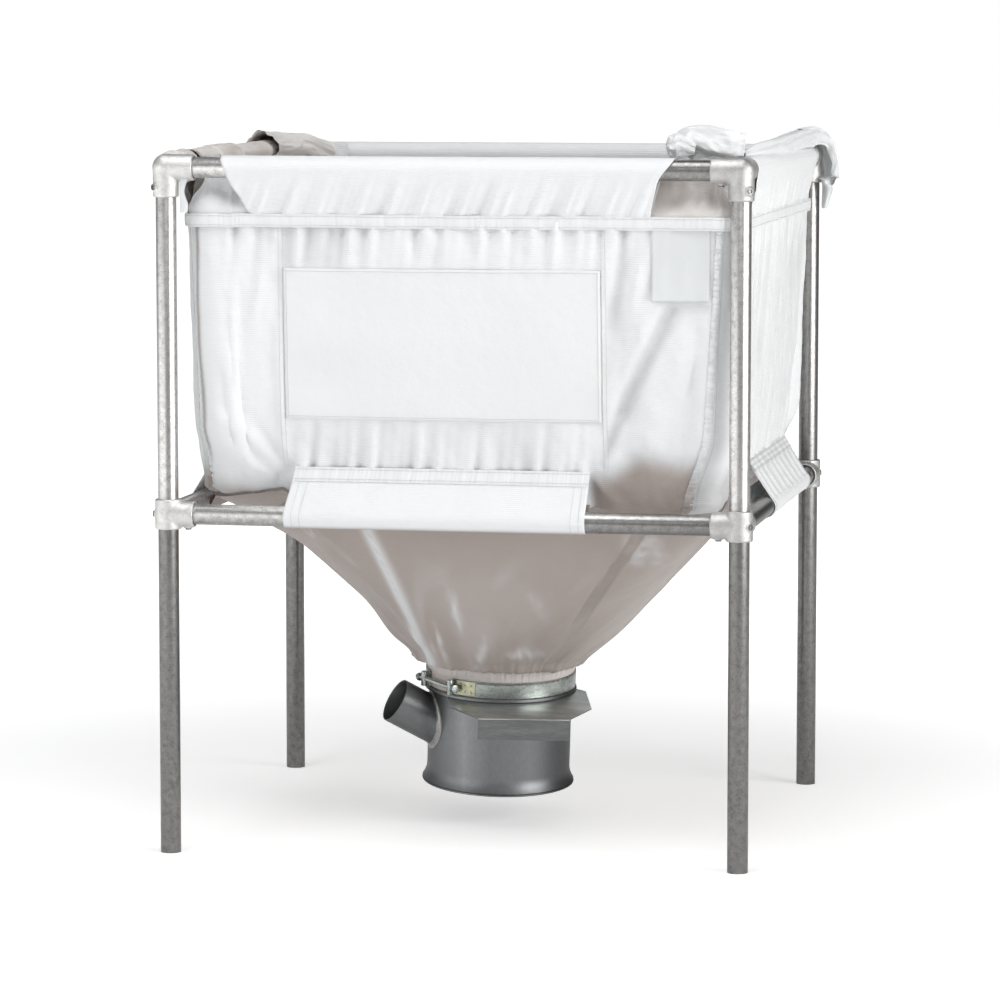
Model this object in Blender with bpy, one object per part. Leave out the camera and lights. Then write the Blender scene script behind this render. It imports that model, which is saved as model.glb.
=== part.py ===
"""Fabric pellet silo: a galvanised tube frame that carries an open cloth bag with a steel outlet.

Metres, +Z up. The origin is on the floor under the middle of the frame, X to the right along the
front rails, Y to the back, so the front is at -Y.
"""

import math

import bmesh
import bpy
from mathutils import Matrix, Vector

# Tubes and the spans between their axes
TUBE_R = 0.01345
TUBE_WALL = 0.0026
SPAN_X = 0.753
SPAN_Y = 0.690
TOP_Z = 0.900
MID_Z = 0.448
TUBE_SIDES = 24
FOOT_CHAMFER = 0.0012

# Cast clamp fittings
SOCKET_R = 0.0170
COLLAR_R = 0.0175
BALL_R = 0.0176
ELBOW_REACH = 0.0385
MID_REACH = 0.0365
COLLAR_HALF = 0.0200
TUBE_STOP = 0.0160
SEAT_GAP = 0.0003
MID_STOP = 0.0165
SCREW_R = 0.0044
SCREW_SINK = 0.0030
SCREW_LIFT = 0.0030
SCREW_HEX_R = 0.0024
SCREW_HEX_DEPTH = 0.0035
ELBOW_SCREW_AT = 0.0255
MID_SCREW_AT = 0.0270

# Cloth bag: outside faces at the top seam, at the lower seam and where the hopper starts
CLOTH = 0.0030
SEAM_Z = 0.8340
LOWER_SEAM_Z = 0.5100
HOPPER_TOP_Z = 0.4680
WALL_OUT_TOP = 0.0015
WALL_IN_LOWER = 0.0250
WALL_IN_HOPPER = 0.0290
CORNER_CUT = 0.0340
HOPPER_WALL = 0.0042
HOPPER_LEVELS = 5

# Sleeves round the top rails and tunnels round the lower rails
SLEEVE_IN_R = 0.01385
SLEEVE_OUT_R = 0.01570
SEAM_HALF = 0.0018
SLEEVE_POCKET = 0.0120
TUNNEL_TOP_Z = 0.5110
TUNNEL_CLOTH = 0.0030
TUNNEL_GAP = 0.0005

# Where each sleeve and tunnel starts and ends along its rail, and how its ends lean with height
SLEEVE_RUNS = {
    "front": (-0.2960, 0.2720, -0.51, 0.20),
    "right": (-0.2950, 0.2950, 0.0, 0.0),
    "back": (-0.3250, 0.3250, 0.0, 0.0),
    "left": (-0.2350, 0.2750, 0.0, 0.0),
}
TUNNEL_RUNS = {
    "front": (-0.2060, 0.1810),
    "right": (-0.1100, 0.2650),
    "back": (-0.1930, 0.1930),
    "left": (-0.1930, 0.1930),
}

# Patch and label on the front wall: left, right, low, high and thickness
PATCH = (-0.2225, 0.1965, 0.5740, 0.7710, 0.0010)
LABEL = (0.2620, 0.3360, 0.7330, 0.8270, 0.0006)

# The loose cover: left, right, front, back, top and edge radius of each bundle
BUNDLE_FRONT_RIGHT = (0.2860, 0.3900, -0.3000, -0.2350, 0.9570, 0.0120)
ROLL_RIGHT = (0.3595, 0.3935, -0.2345, 0.2700, 0.9330, 0.0060)
BUNDLE_BACK_LEFT = (-0.3880, -0.3250, 0.2200, 0.3560, 0.9300, 0.0040)
DRAPE_LEFT = 0.3520
DRAPE_OUT = 0.4060
DRAPE_THICK = 0.0100
DRAPE_LOW_Z = 0.8220
DRAPE_TOP_Z = 0.9300
DRAPE_FRONT = 0.2705
DRAPE_BACK = 0.3660

# Outlet, in its own tilted frame: the blade plane is its zero, its front is -Y
OUTLET_X = -0.0020
OUTLET_Z = 0.1810
OUTLET_TURN = math.radians(14.7)
OUTLET_TILT = math.radians(4.8)
OUTLET_LEAN = math.radians(1.3)
POT_R = 0.0980
POT_WALL = 0.0020
POT_BOTTOM = -0.1310
FLARE_FROM = 0.1100
FLARE_TO = 0.1265
FLARE_OUT = 0.0052
LIP_R = 0.1042
LIP_WIDE = 0.0030
LIP_THICK = 0.0018
SPIGOT_R = 0.0965
SPIGOT_TOP = 0.0420
BEAD_R = 0.1045
BEAD_H = 0.0045
BEAD_ROUND = 0.0010
CUFF_R = 0.1010
CUFF_FLARE_Z = 0.0370
CUFF_MOUTH_R = 0.1045
CUFF_TOP = 0.0485
BAND_R = 0.1030
BAND_LOW = 0.0055
BAND_HIGH = 0.0275
BAND_FROM = math.radians(-44.0)
BAND_TO = math.radians(-72.0)
BOLT_AT_R = 0.1108
LUG_TURN = math.radians(2.0)
LUG_HALF = 0.0045
LUG_IN = 0.0046
LUG_OUT = 0.0088
LUG_SHORT = 0.0010
BOLT_R = 0.0030
BOLT_HOLE_R = 0.0033
BOLT_HEAD_R = 0.0060
BOLT_BEHIND = 0.0130
BOLT_AHEAD = 0.0180
NUT_R = 0.0058
NUT_H = 0.0055
NUT_AT = 0.0075
OUTLET_SIDES = 48

# Slide gate blade, measured from the outlet axis: x to the right, reach to the front
BLADE_THICK = 0.0015
BLADE_TOP = -0.0005
BLADE_CENTRE = 0.0200
BLADE_HALF = 0.0958
BLADE_DISC_R = 0.0935
BLADE_REACH = 0.1900
BLADE_SHOULDER = 0.1240
BLADE_HEEL = 0.0225
BLADE_STOP_X = 0.0960
HANDLE_HALF = 0.0614
HANDLE_DROP = 0.0290
SLOT_LOW = -0.0025
SLOT_BACK = 0.0070

# Suction stub on the left of the pot
STUB_R = 0.0308
STUB_WALL = 0.0018
STUB_RISE = math.radians(29.0)
STUB_TURN = math.radians(12.0)
STUB_ROOT_Z = -0.0970
STUB_REACH = 0.1700
STUB_START = 0.0400
STUB_SIDES = 32

# How far a cutter runs past what it cuts
PAST = 0.1000

HALF_X = SPAN_X / 2
HALF_Y = SPAN_Y / 2
CORNERS = {
    "front_left": (-1, -1, 0.0, math.radians(185.0)),
    "front_right": (1, -1, math.radians(90.0), math.radians(237.0)),
    "back_right": (1, 1, math.radians(180.0), math.radians(215.0)),
    "back_left": (-1, 1, math.radians(270.0), math.radians(215.0)),
}


def clear_scene():
    for obj in list(bpy.data.objects):
        bpy.data.objects.remove(obj, do_unlink=True)


def material(name, colour, roughness, metallic):
    mat = bpy.data.materials.new(name)
    mat.use_nodes = True
    shader = mat.node_tree.nodes["Principled BSDF"]
    shader.inputs["Base Color"].default_value = (*colour, 1.0)
    shader.inputs["Roughness"].default_value = roughness
    shader.inputs["Metallic"].default_value = metallic
    return mat


def add_object(name, mesh, mat, place=Matrix.Identity(4), parent=None):
    obj = bpy.data.objects.new(name, mesh)
    bpy.context.scene.collection.objects.link(obj)
    if not mesh.materials:
        mesh.materials.append(mat)
    obj.parent = parent
    obj.matrix_local = place
    return obj


def finish_mesh(name, bm, smooth=True):
    bmesh.ops.remove_doubles(bm, verts=bm.verts, dist=0.000002)
    bmesh.ops.recalc_face_normals(bm, faces=bm.faces)
    mesh = bpy.data.meshes.new(name)
    bm.to_mesh(mesh)
    bm.free()
    if smooth:
        mesh.shade_smooth()
        mesh.set_sharp_from_angle(angle=math.radians(35))
    return mesh


def turned(name, profile, sides, start=0.0, sweep=2 * math.pi):
    """A closed (radius, height) profile turned about Z, right round or through part of a turn."""
    bm = bmesh.new()
    whole = sweep > 2 * math.pi - 1e-6
    count = sides if whole else sides + 1
    rings = []
    for i in range(count):
        turn = start + sweep * i / sides
        ring = [bm.verts.new((r * math.cos(turn), r * math.sin(turn), z)) for r, z in profile]
        rings.append(ring)
    for i in range(sides):
        a = rings[i]
        b = rings[(i + 1) % count]
        for j in range(len(profile)):
            k = (j + 1) % len(profile)
            bm.faces.new((a[j], a[k], b[k], b[j]))
    if not whole:
        bm.faces.new(rings[0])
        bm.faces.new(list(reversed(rings[-1])))
    return finish_mesh(name, bm)


def prism(name, outline, low, high, shear_low=0.0, shear_high=0.0):
    """A flat (a, b) outline extruded along the third axis; the ends may lean with b."""
    bm = bmesh.new()
    bottom = [bm.verts.new((a, b, low + shear_low * b)) for a, b in outline]
    top = [bm.verts.new((a, b, high + shear_high * b)) for a, b in outline]
    bm.faces.new(list(reversed(bottom)))
    bm.faces.new(top)
    for i in range(len(outline)):
        k = (i + 1) % len(outline)
        bm.faces.new((bottom[i], bottom[k], top[k], top[i]))
    return finish_mesh(name, bm)


def cylinder(name, radius, low, high, sides=TUBE_SIDES):
    return prism(name, circle(radius, sides), low, high)


def along(axis):
    """The turn that lays the Z axis along the given direction."""
    return Vector(axis).to_track_quat("Z", "Y").to_matrix().to_4x4()


def combine(base, other, place, operation):
    """Join or cut one mesh with another, and return the new mesh."""
    target = bpy.data.objects.new("working", base)
    tool = bpy.data.objects.new("tool", other)
    tool.matrix_world = place
    tool.hide_render = True
    tool.display_type = "WIRE"
    for obj in (target, tool):
        bpy.context.scene.collection.objects.link(obj)
    boolean = target.modifiers.new("boolean", "BOOLEAN")
    boolean.operation = operation
    boolean.object = tool
    boolean.solver = "EXACT"
    bpy.context.view_layer.update()
    seen = target.evaluated_get(bpy.context.evaluated_depsgraph_get())
    result = bpy.data.meshes.new_from_object(seen)
    for obj in (target, tool):
        bpy.data.objects.remove(obj, do_unlink=True)
    result.name = base.name
    return result


def tidy(mesh):
    """Merge the slivers that a cut leaves, and shade the round faces smooth."""
    bm = bmesh.new()
    bm.from_mesh(mesh)
    bmesh.ops.remove_doubles(bm, verts=bm.verts, dist=0.000005)
    bmesh.ops.dissolve_degenerate(bm, edges=bm.edges, dist=0.000005)
    bm.to_mesh(mesh)
    bm.free()
    mesh.shade_smooth()
    mesh.set_sharp_from_angle(angle=math.radians(35))
    return mesh


def hull(points):
    """The convex outline of flat points, anticlockwise."""
    points = sorted(set((round(a, 7), round(b, 7)) for a, b in points))

    def half(run):
        kept = []
        for p in run:
            while len(kept) > 1:
                (ax, ay), (bx, by) = kept[-2], kept[-1]
                if (bx - ax) * (p[1] - ay) - (by - ay) * (p[0] - ax) > 0:
                    break
                kept.pop()
            kept.append(p)
        return kept[:-1]

    return half(points) + half(list(reversed(points)))


def circle(radius, sides, centre=(0.0, 0.0)):
    return [(centre[0] + radius * math.cos(2 * math.pi * i / sides),
             centre[1] + radius * math.sin(2 * math.pi * i / sides)) for i in range(sides)]


def tube_mesh(name, length, chamfer=0.0):
    """A tube from zero to its length along Z, with a small chamfer round its lower end."""
    inner = TUBE_R - TUBE_WALL
    profile = [(TUBE_R, length), (TUBE_R, chamfer), (TUBE_R - chamfer, 0.0), (inner, 0.0), (inner, length)]
    if chamfer == 0.0:
        profile.pop(1)
    return turned(name, profile, TUBE_SIDES)


def make_frame(mats):
    leg = tube_mesh("leg", TOP_Z - TUBE_STOP, FOOT_CHAMFER)
    for corner, (sx, sy, _, _) in CORNERS.items():
        add_object("leg_" + corner, leg, mats["tube"], Matrix.Translation((sx * HALF_X, sy * HALF_Y, 0)))
    for level, z, stop in (("top", TOP_Z, TUBE_STOP), ("lower", MID_Z, MID_STOP)):
        across = tube_mesh("rail_across", SPAN_X - 2 * stop)
        deep = tube_mesh("rail_deep", SPAN_Y - 2 * stop)
        for side, sy in (("front", -1), ("back", 1)):
            place = Matrix.Translation((-HALF_X + stop, sy * HALF_Y, z)) @ along((1, 0, 0))
            add_object(f"{level}_rail_{side}", across, mats["tube"], place)
        for side, sx in (("left", -1), ("right", 1)):
            place = Matrix.Translation((sx * HALF_X, -HALF_Y + stop, z)) @ along((0, 1, 0))
            add_object(f"{level}_rail_{side}", deep, mats["tube"], place)


def with_screw(mesh, point, direction):
    """Add a set screw boss with a hex socket, standing on a fitting's skin."""
    boss = cylinder("boss", SCREW_R, -SCREW_SINK, SCREW_LIFT, 12)
    key = cylinder("key", SCREW_HEX_R, SCREW_LIFT - SCREW_HEX_DEPTH, SCREW_LIFT + PAST, 6)
    direction = Vector(direction)
    place = Matrix.Translation(Vector(point) + direction * SOCKET_R) @ along(direction)
    mesh = combine(mesh, boss, place, "UNION")
    return combine(mesh, key, place, "DIFFERENCE")


def bored(mesh, axes, low):
    """Bore the sockets, a little wider than the tubes that sit in them."""
    bore = cylinder("bore", TUBE_R + SEAT_GAP, low, ELBOW_REACH + COLLAR_HALF)
    for axis in axes:
        mesh = combine(mesh, bore, along(axis), "DIFFERENCE")
    return mesh


def elbow_mesh():
    """A three-way corner casting: sockets to the right, to the back and down."""
    arm = cylinder("arm", SOCKET_R, 0.0, ELBOW_REACH)
    axes = ((1, 0, 0), (0, 1, 0), (0, 0, -1))
    ball = bmesh.new()
    bmesh.ops.create_uvsphere(ball, u_segments=TUBE_SIDES, v_segments=12, radius=BALL_R)
    mesh = finish_mesh("corner_elbow", ball)
    for axis in axes:
        mesh = combine(mesh, arm, along(axis), "UNION")
    mesh = bored(mesh, axes, TUBE_STOP - SEAT_GAP)
    mesh = with_screw(mesh, (ELBOW_SCREW_AT, 0, 0), (0, 0, -1))
    mesh = with_screw(mesh, (0, ELBOW_SCREW_AT, 0), (0, 0, -1))
    outward = Vector((-1, -1, 0)).normalized()
    mesh = with_screw(mesh, (0, 0, -ELBOW_SCREW_AT), outward)
    return tidy(mesh)


def mid_mesh(screw_turn):
    """A casting that clamps a leg running through it, with sockets to the right and to the back."""
    mesh = cylinder("lower_fitting", COLLAR_R, -COLLAR_HALF, COLLAR_HALF)
    arm = cylinder("arm", SOCKET_R, 0.0, MID_REACH)
    for axis in ((1, 0, 0), (0, 1, 0)):
        mesh = combine(mesh, arm, along(axis), "UNION")
    through = cylinder("through", TUBE_R + SEAT_GAP, -PAST, PAST)
    mesh = combine(mesh, through, Matrix.Identity(4), "DIFFERENCE")
    mesh = bored(mesh, ((1, 0, 0), (0, 1, 0)), MID_STOP - SEAT_GAP)
    mesh = with_screw(mesh, (MID_SCREW_AT, 0, 0), (0, 0, -1))
    mesh = with_screw(mesh, (0, MID_SCREW_AT, 0), (0, 0, -1))
    mesh = with_screw(mesh, (0, 0, 0), (math.cos(screw_turn), math.sin(screw_turn), 0))
    return tidy(mesh)


def make_fittings(mats):
    elbow = elbow_mesh()
    for corner, (sx, sy, turn, screw_turn) in CORNERS.items():
        spot = Vector((sx * HALF_X, sy * HALF_Y, 0))
        turned_to = Matrix.Rotation(turn, 4, "Z")
        add_object("corner_elbow_" + corner, elbow, mats["casting"],
                   Matrix.Translation(spot + Vector((0, 0, TOP_Z))) @ turned_to)
        add_object("lower_fitting_" + corner, mid_mesh(screw_turn), mats["casting"],
                   Matrix.Translation(spot + Vector((0, 0, MID_Z))) @ turned_to)


def bag_inset(z):
    """How far the bag's outside face lies inside the rails' axes at a height."""
    if z >= LOWER_SEAM_Z:
        part = (SEAM_Z - z) / (SEAM_Z - LOWER_SEAM_Z)
        return -WALL_OUT_TOP + part * (WALL_IN_LOWER + WALL_OUT_TOP)
    part = (LOWER_SEAM_Z - z) / (LOWER_SEAM_Z - HOPPER_TOP_Z)
    return WALL_IN_LOWER + part * (WALL_IN_HOPPER - WALL_IN_LOWER)


def wall_plan(side, inset):
    """One wall of the bag in plan: half a cut corner, the flat face, half a cut corner."""
    across = side in ("front", "back")
    wide, out = (HALF_X - inset, HALF_Y - inset) if across else (HALF_Y - inset, HALF_X - inset)
    cut = CORNER_CUT
    ends = SEAT_GAP / 2
    run = [(-(wide - cut / 2) + ends, out - cut / 2 + ends)]
    flat = wide - cut
    run += [(-flat + 2 * flat * i / 6, out) for i in range(7)]
    run += [(wide - cut / 2 - ends, out - cut / 2 + ends)]
    turn = {"front": (1, -1), "right": (1, 1), "back": (-1, 1), "left": (-1, -1)}[side]
    if across:
        return [(turn[0] * a, turn[1] * b) for a, b in run]
    return [(turn[0] * b, turn[1] * a) for a, b in run]


def shell_between(name, outer_rows, inner_rows):
    """A closed solid between two open sheets of points, given row by row."""
    bm = bmesh.new()
    outer = [[bm.verts.new(p) for p in row] for row in outer_rows]
    inner = [[bm.verts.new(p) for p in row] for row in inner_rows]
    rows = len(outer)
    cols = len(outer[0])
    for i in range(rows - 1):
        for j in range(cols - 1):
            bm.faces.new((outer[i][j], outer[i][j + 1], outer[i + 1][j + 1], outer[i + 1][j]))
            bm.faces.new((inner[i][j], inner[i + 1][j], inner[i + 1][j + 1], inner[i][j + 1]))
    for j in range(cols - 1):
        bm.faces.new((outer[0][j], inner[0][j], inner[0][j + 1], outer[0][j + 1]))
        bm.faces.new((outer[-1][j], outer[-1][j + 1], inner[-1][j + 1], inner[-1][j]))
    for i in range(rows - 1):
        bm.faces.new((outer[i][0], outer[i + 1][0], inner[i + 1][0], inner[i][0]))
        bm.faces.new((outer[i][-1], inner[i][-1], inner[i + 1][-1], outer[i + 1][-1]))
    return finish_mesh(name, bm)


def outlet_matrix():
    turn = Matrix.Rotation(OUTLET_TURN, 4, "Z")
    lean = Matrix.Rotation(OUTLET_LEAN, 4, "Y")
    tilt = Matrix.Rotation(OUTLET_TILT, 4, "X")
    return Matrix.Translation((OUTLET_X, 0, OUTLET_Z)) @ turn @ lean @ tilt


def neck_point(x, y, radius, lift):
    """The point on the outlet's neck ring that a plan point of the bag comes down to."""
    local = outlet_matrix().inverted() @ Vector((OUTLET_X + x, y, OUTLET_Z))
    flat = Vector((local.x, local.y, 0)).normalized() * radius
    return outlet_matrix() @ Vector((flat.x, flat.y, lift))


def make_bag(mats):
    levels = [SEAM_Z, (SEAM_Z + LOWER_SEAM_Z) / 2, LOWER_SEAM_Z, HOPPER_TOP_Z]
    for side in ("front", "right", "back", "left"):
        outer = [[(x, y, z) for x, y in wall_plan(side, bag_inset(z))] for z in levels]
        inner = [[(x, y, z) for x, y in wall_plan(side, bag_inset(z) + CLOTH)] for z in levels]
        add_object("bag_wall_" + side, shell_between("bag_wall", outer, inner), mats["cloth"])
    top = HOPPER_TOP_Z - SEAT_GAP
    for side in ("front", "right", "back", "left"):
        rows = []
        for inset, radius in ((WALL_IN_HOPPER, CUFF_MOUTH_R),
                              (WALL_IN_HOPPER + HOPPER_WALL, CUFF_MOUTH_R - CLOTH)):
            plan = wall_plan(side, inset)
            low = [neck_point(x, y, radius, CUFF_TOP + SEAT_GAP) for x, y in plan]
            sheet = []
            for i in range(HOPPER_LEVELS):
                part = i / (HOPPER_LEVELS - 1)
                sheet.append([Vector((x, y, top)).lerp(p, part) for (x, y), p in zip(plan, low)])
            rows.append(sheet)
        add_object("hopper_panel_" + side, shell_between("hopper_panel", *rows), mats["cloth"])


def loop_mesh(name, side, outer, inner, start, end, lean_start=0.0, lean_end=0.0):
    """A cloth tunnel along a rail, from start to end on X or Y; its ends may lean with height."""
    if side in ("front", "right"):
        start, end, lean_start, lean_end = -end, -start, -lean_end, -lean_start
    body = prism(name, outer, start, end, lean_start, lean_end)
    hole = prism("hole", inner, start - PAST, end + PAST)
    return tidy(combine(body, hole, Matrix.Identity(4), "DIFFERENCE"))


def rail_place(side, z):
    """Turns a tunnel's outline to a rail: outline x points outwards, y up, length along the rail."""
    out = {"front": (0, -1, 0), "back": (0, 1, 0), "left": (-1, 0, 0), "right": (1, 0, 0)}[side]
    outward = Vector(out)
    up = Vector((0, 0, 1))
    run = outward.cross(up)
    spot = Vector((out[0] * HALF_X, out[1] * HALF_Y, z))
    place = Matrix((outward, up, run)).transposed().to_4x4()
    return Matrix.Translation(spot) @ place


def make_sleeves(mats):
    """Cloth sleeves round the top rails, each closed by a seam below its rail."""
    drop = SEAM_Z + SEAT_GAP - TOP_Z
    outer = hull(circle(SLEEVE_OUT_R, TUBE_SIDES) + [(-SEAM_HALF, drop), (SEAM_HALF, drop)])
    inner = hull(circle(SLEEVE_IN_R, TUBE_SIDES) + [(0.0, drop + SLEEVE_POCKET)])
    for side, ends in SLEEVE_RUNS.items():
        mesh = loop_mesh("sleeve", side, outer, inner, *ends)
        add_object("top_sleeve_" + side, mesh, mats["cloth"], rail_place(side, TOP_Z))


def make_tunnels(mats):
    """Cloth tunnels that tie the bag to the lower rails."""
    high = TUNNEL_TOP_Z - MID_Z
    low = HOPPER_TOP_Z - MID_Z
    outer = hull(circle(SLEEVE_OUT_R, TUBE_SIDES)
                 + [(TUNNEL_GAP - WALL_IN_LOWER, high), (TUNNEL_GAP - WALL_IN_HOPPER, low)])
    inner = hull(circle(SLEEVE_IN_R, TUBE_SIDES)
                 + [(TUNNEL_CLOTH - WALL_IN_LOWER, high - 2 * TUNNEL_CLOTH),
                    (TUNNEL_CLOTH - WALL_IN_HOPPER, low + TUNNEL_CLOTH)])
    for side, ends in TUNNEL_RUNS.items():
        mesh = loop_mesh("tunnel", side, outer, inner, *ends)
        add_object("lower_tunnel_" + side, mesh, mats["cloth"], rail_place(side, MID_Z))


def wall_plate(name, plate, mat):
    """A thin rectangle lying on the bag's front wall."""
    left, right, low, high, thick = plate
    bm = bmesh.new()
    rows = []
    for z in (low, high):
        skin = -(HALF_Y - bag_inset(z)) - SEAT_GAP
        rows.append([bm.verts.new(p) for p in ((left, skin, z), (right, skin, z),
                                               (right, skin - thick, z), (left, skin - thick, z))])
    bm.faces.new(list(reversed(rows[0])))
    bm.faces.new(rows[1])
    for i in range(4):
        k = (i + 1) % 4
        bm.faces.new((rows[0][i], rows[0][k], rows[1][k], rows[1][i]))
    add_object(name, finish_mesh(name, bm, smooth=False), mat)


def bundle(name, block, low, mat):
    """A soft bundle of cloth as a block with rounded edges, resting at a height."""
    left, right, front, back, top, radius = block
    bm = bmesh.new()
    size = Vector((right - left, back - front, top - low))
    middle = Vector((right + left, back + front, top + low)) / 2
    bmesh.ops.create_cube(bm, size=1.0, matrix=Matrix.Translation(middle) @ Matrix.Diagonal((*size, 1.0)))
    bmesh.ops.bevel(bm, geom=bm.edges[:], offset=radius, segments=3, profile=0.6, affect="EDGES")
    add_object(name, finish_mesh(name, bm), mat)


def make_cover(mats):
    """The bag's loose dust cover, pushed back and bunched along the right rail and at two corners."""
    sleeve_top = TOP_Z + SLEEVE_OUT_R + SEAT_GAP
    elbow_top = TOP_Z + BALL_R + SEAT_GAP
    bundle("cover_bundle_front_right", BUNDLE_FRONT_RIGHT, sleeve_top, mats["cloth"])
    bundle("cover_roll_right", ROLL_RIGHT, sleeve_top, mats["cloth"])
    bundle("cover_bundle_back_left", BUNDLE_BACK_LEFT, elbow_top, mats["cloth"])
    inside = DRAPE_OUT - DRAPE_THICK
    outline = [(DRAPE_LEFT, elbow_top), (inside, elbow_top), (inside, DRAPE_LOW_Z), (DRAPE_OUT, DRAPE_LOW_Z),
               (DRAPE_OUT, DRAPE_TOP_Z - DRAPE_THICK), (inside, DRAPE_TOP_Z), (DRAPE_LEFT, DRAPE_TOP_Z)]
    drape = prism("cover_drape", outline, -DRAPE_BACK, -DRAPE_FRONT)
    stand = Matrix(((1, 0, 0), (0, 0, 1), (0, -1, 0))).transposed().to_4x4()
    add_object("cover_drape_back_right", drape, mats["cloth"], stand)


def pot_profile():
    """The pot's wall, from the spigot's top down its outside to the lip and back up its inside."""
    inner = POT_R - POT_WALL
    flare = []
    for i in range(4):
        part = i / 3
        flare.append((FLARE_FROM + part * (FLARE_TO - FLARE_FROM), FLARE_OUT * part * part))
    outside = [(POT_R + out, -drop) for drop, out in flare]
    inside = [(inner + out, -drop) for drop, out in reversed(flare)]
    bead = [(BEAD_R - BEAD_ROUND, BEAD_H), (BEAD_R, BEAD_H - BEAD_ROUND), (BEAD_R, BEAD_ROUND),
            (BEAD_R - BEAD_ROUND, 0.0)]
    lip = [(LIP_R, POT_BOTTOM + LIP_THICK), (LIP_R, POT_BOTTOM), (LIP_R - LIP_WIDE, POT_BOTTOM)]
    throat = [(inner, SLOT_LOW - BEAD_ROUND), (SPIGOT_R - POT_WALL, 0.0), (SPIGOT_R - POT_WALL, SPIGOT_TOP)]
    spigot = [(SPIGOT_R, SPIGOT_TOP), (SPIGOT_R, BEAD_H)]
    return spigot + bead + [(POT_R, 0.0)] + outside + lip + inside + throat


def stub_place():
    """The stub's axis: it starts on the pot's axis and runs out to the left, forwards and up."""
    flat = Vector((-math.cos(STUB_TURN), -math.sin(STUB_TURN), 0))
    direction = flat * math.cos(STUB_RISE) + Vector((0, 0, math.sin(STUB_RISE)))
    return Matrix.Translation((0, 0, STUB_ROOT_Z)) @ along(direction)


def make_outlet(mats):
    frame = bpy.data.objects.new("outlet_frame", None)
    bpy.context.scene.collection.objects.link(frame)
    frame.matrix_world = outlet_matrix()
    still = Matrix.Identity(4)

    pot = turned("outlet_pot", pot_profile(), OUTLET_SIDES)
    wide = POT_R + PAST
    outline = [(-wide, -wide), (wide, -wide), (wide, SLOT_BACK), (-wide, SLOT_BACK)]
    slot = prism("slot", outline, SLOT_LOW, 0.0)
    pot = combine(pot, slot, still, "DIFFERENCE")
    bore = cylinder("stub_bore", STUB_R - STUB_WALL, STUB_START, STUB_REACH + PAST, STUB_SIDES)
    pot = combine(pot, bore, stub_place(), "DIFFERENCE")
    add_object("outlet_pot", tidy(pot), mats["pot"], still, frame)

    inner = STUB_R - STUB_WALL
    profile = [(STUB_R, STUB_START), (STUB_R, STUB_REACH), (inner, STUB_REACH), (inner, STUB_START)]
    stub = turned("suction_stub", profile, STUB_SIDES)
    trim = cylinder("trim", POT_R + SEAT_GAP, POT_BOTTOM - PAST, PAST, OUTLET_SIDES * 2)
    stub = combine(stub, trim, stub_place().inverted(), "DIFFERENCE")
    add_object("suction_stub", tidy(stub), mats["pot"], stub_place(), frame)

    low = BEAD_H + SEAT_GAP
    inside = SPIGOT_R + SEAT_GAP
    cuff = [(CUFF_R, low), (CUFF_R, BAND_HIGH), (CUFF_MOUTH_R, CUFF_FLARE_Z), (CUFF_MOUTH_R, CUFF_TOP),
            (CUFF_MOUTH_R - CLOTH, CUFF_TOP), (CUFF_MOUTH_R - CLOTH, CUFF_FLARE_Z), (inside, BAND_HIGH),
            (inside, low)]
    add_object("neck_cuff", turned("neck_cuff", cuff, OUTLET_SIDES), mats["cloth"], still, frame)
    make_clamp(mats, frame)
    make_gate(mats, frame)


def ring_spot(turn, radius, z=0.0):
    """A place on a ring about the outlet, with the turn counted from its front."""
    return Vector((radius * math.sin(turn), -radius * math.cos(turn), z))


def make_clamp(mats, frame):
    """A band clamp with two lugs and the long bolt that draws them together."""
    low, high = BAND_LOW, BAND_HIGH
    inner = CUFF_R + SEAT_GAP
    sweep = 2 * math.pi - (BAND_FROM - BAND_TO)
    profile = [(BAND_R, low), (BAND_R, high), (inner, high), (inner, low)]
    band = turned("clamp_band", profile, OUTLET_SIDES, BAND_FROM - math.pi / 2, sweep)
    bolt_z = (low + high) / 2
    lug_turns = (BAND_FROM + LUG_TURN, BAND_TO - LUG_TURN)
    start, end = (ring_spot(turn, BOLT_AT_R, bolt_z) for turn in lug_turns)
    run = (end - start).normalized()
    hole = cylinder("hole", BOLT_HOLE_R, -PAST, PAST, 12)
    outline = [(-LUG_HALF, -LUG_IN), (LUG_HALF, -LUG_IN), (LUG_HALF, LUG_OUT), (-LUG_HALF, LUG_OUT)]
    lug = prism("lug", outline, low + LUG_SHORT, high - LUG_SHORT)
    for turn in lug_turns:
        place = Matrix.Translation(ring_spot(turn, BOLT_AT_R)) @ Matrix.Rotation(turn, 4, "Z")
        band = combine(band, lug, place, "UNION")
    band = combine(band, hole, Matrix.Translation((start + end) / 2) @ along(run), "DIFFERENCE")
    add_object("clamp_band", tidy(band), mats["zinc"], Matrix.Identity(4), frame)

    length = (end - start).length
    bolt = cylinder("clamp_bolt", BOLT_R, -BOLT_BEHIND, length + BOLT_AHEAD, 12)
    head = cylinder("head", BOLT_HEAD_R, -BOLT_BEHIND, NUT_H - BOLT_BEHIND, 6)
    nut = cylinder("nut", NUT_R, length + NUT_AT, length + NUT_AT + NUT_H, 6)
    bolt = combine(bolt, head, Matrix.Identity(4), "UNION")
    bolt = combine(bolt, nut, Matrix.Identity(4), "UNION")
    add_object("clamp_bolt", tidy(bolt), mats["zinc"], Matrix.Translation(start) @ along(run), frame)


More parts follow.
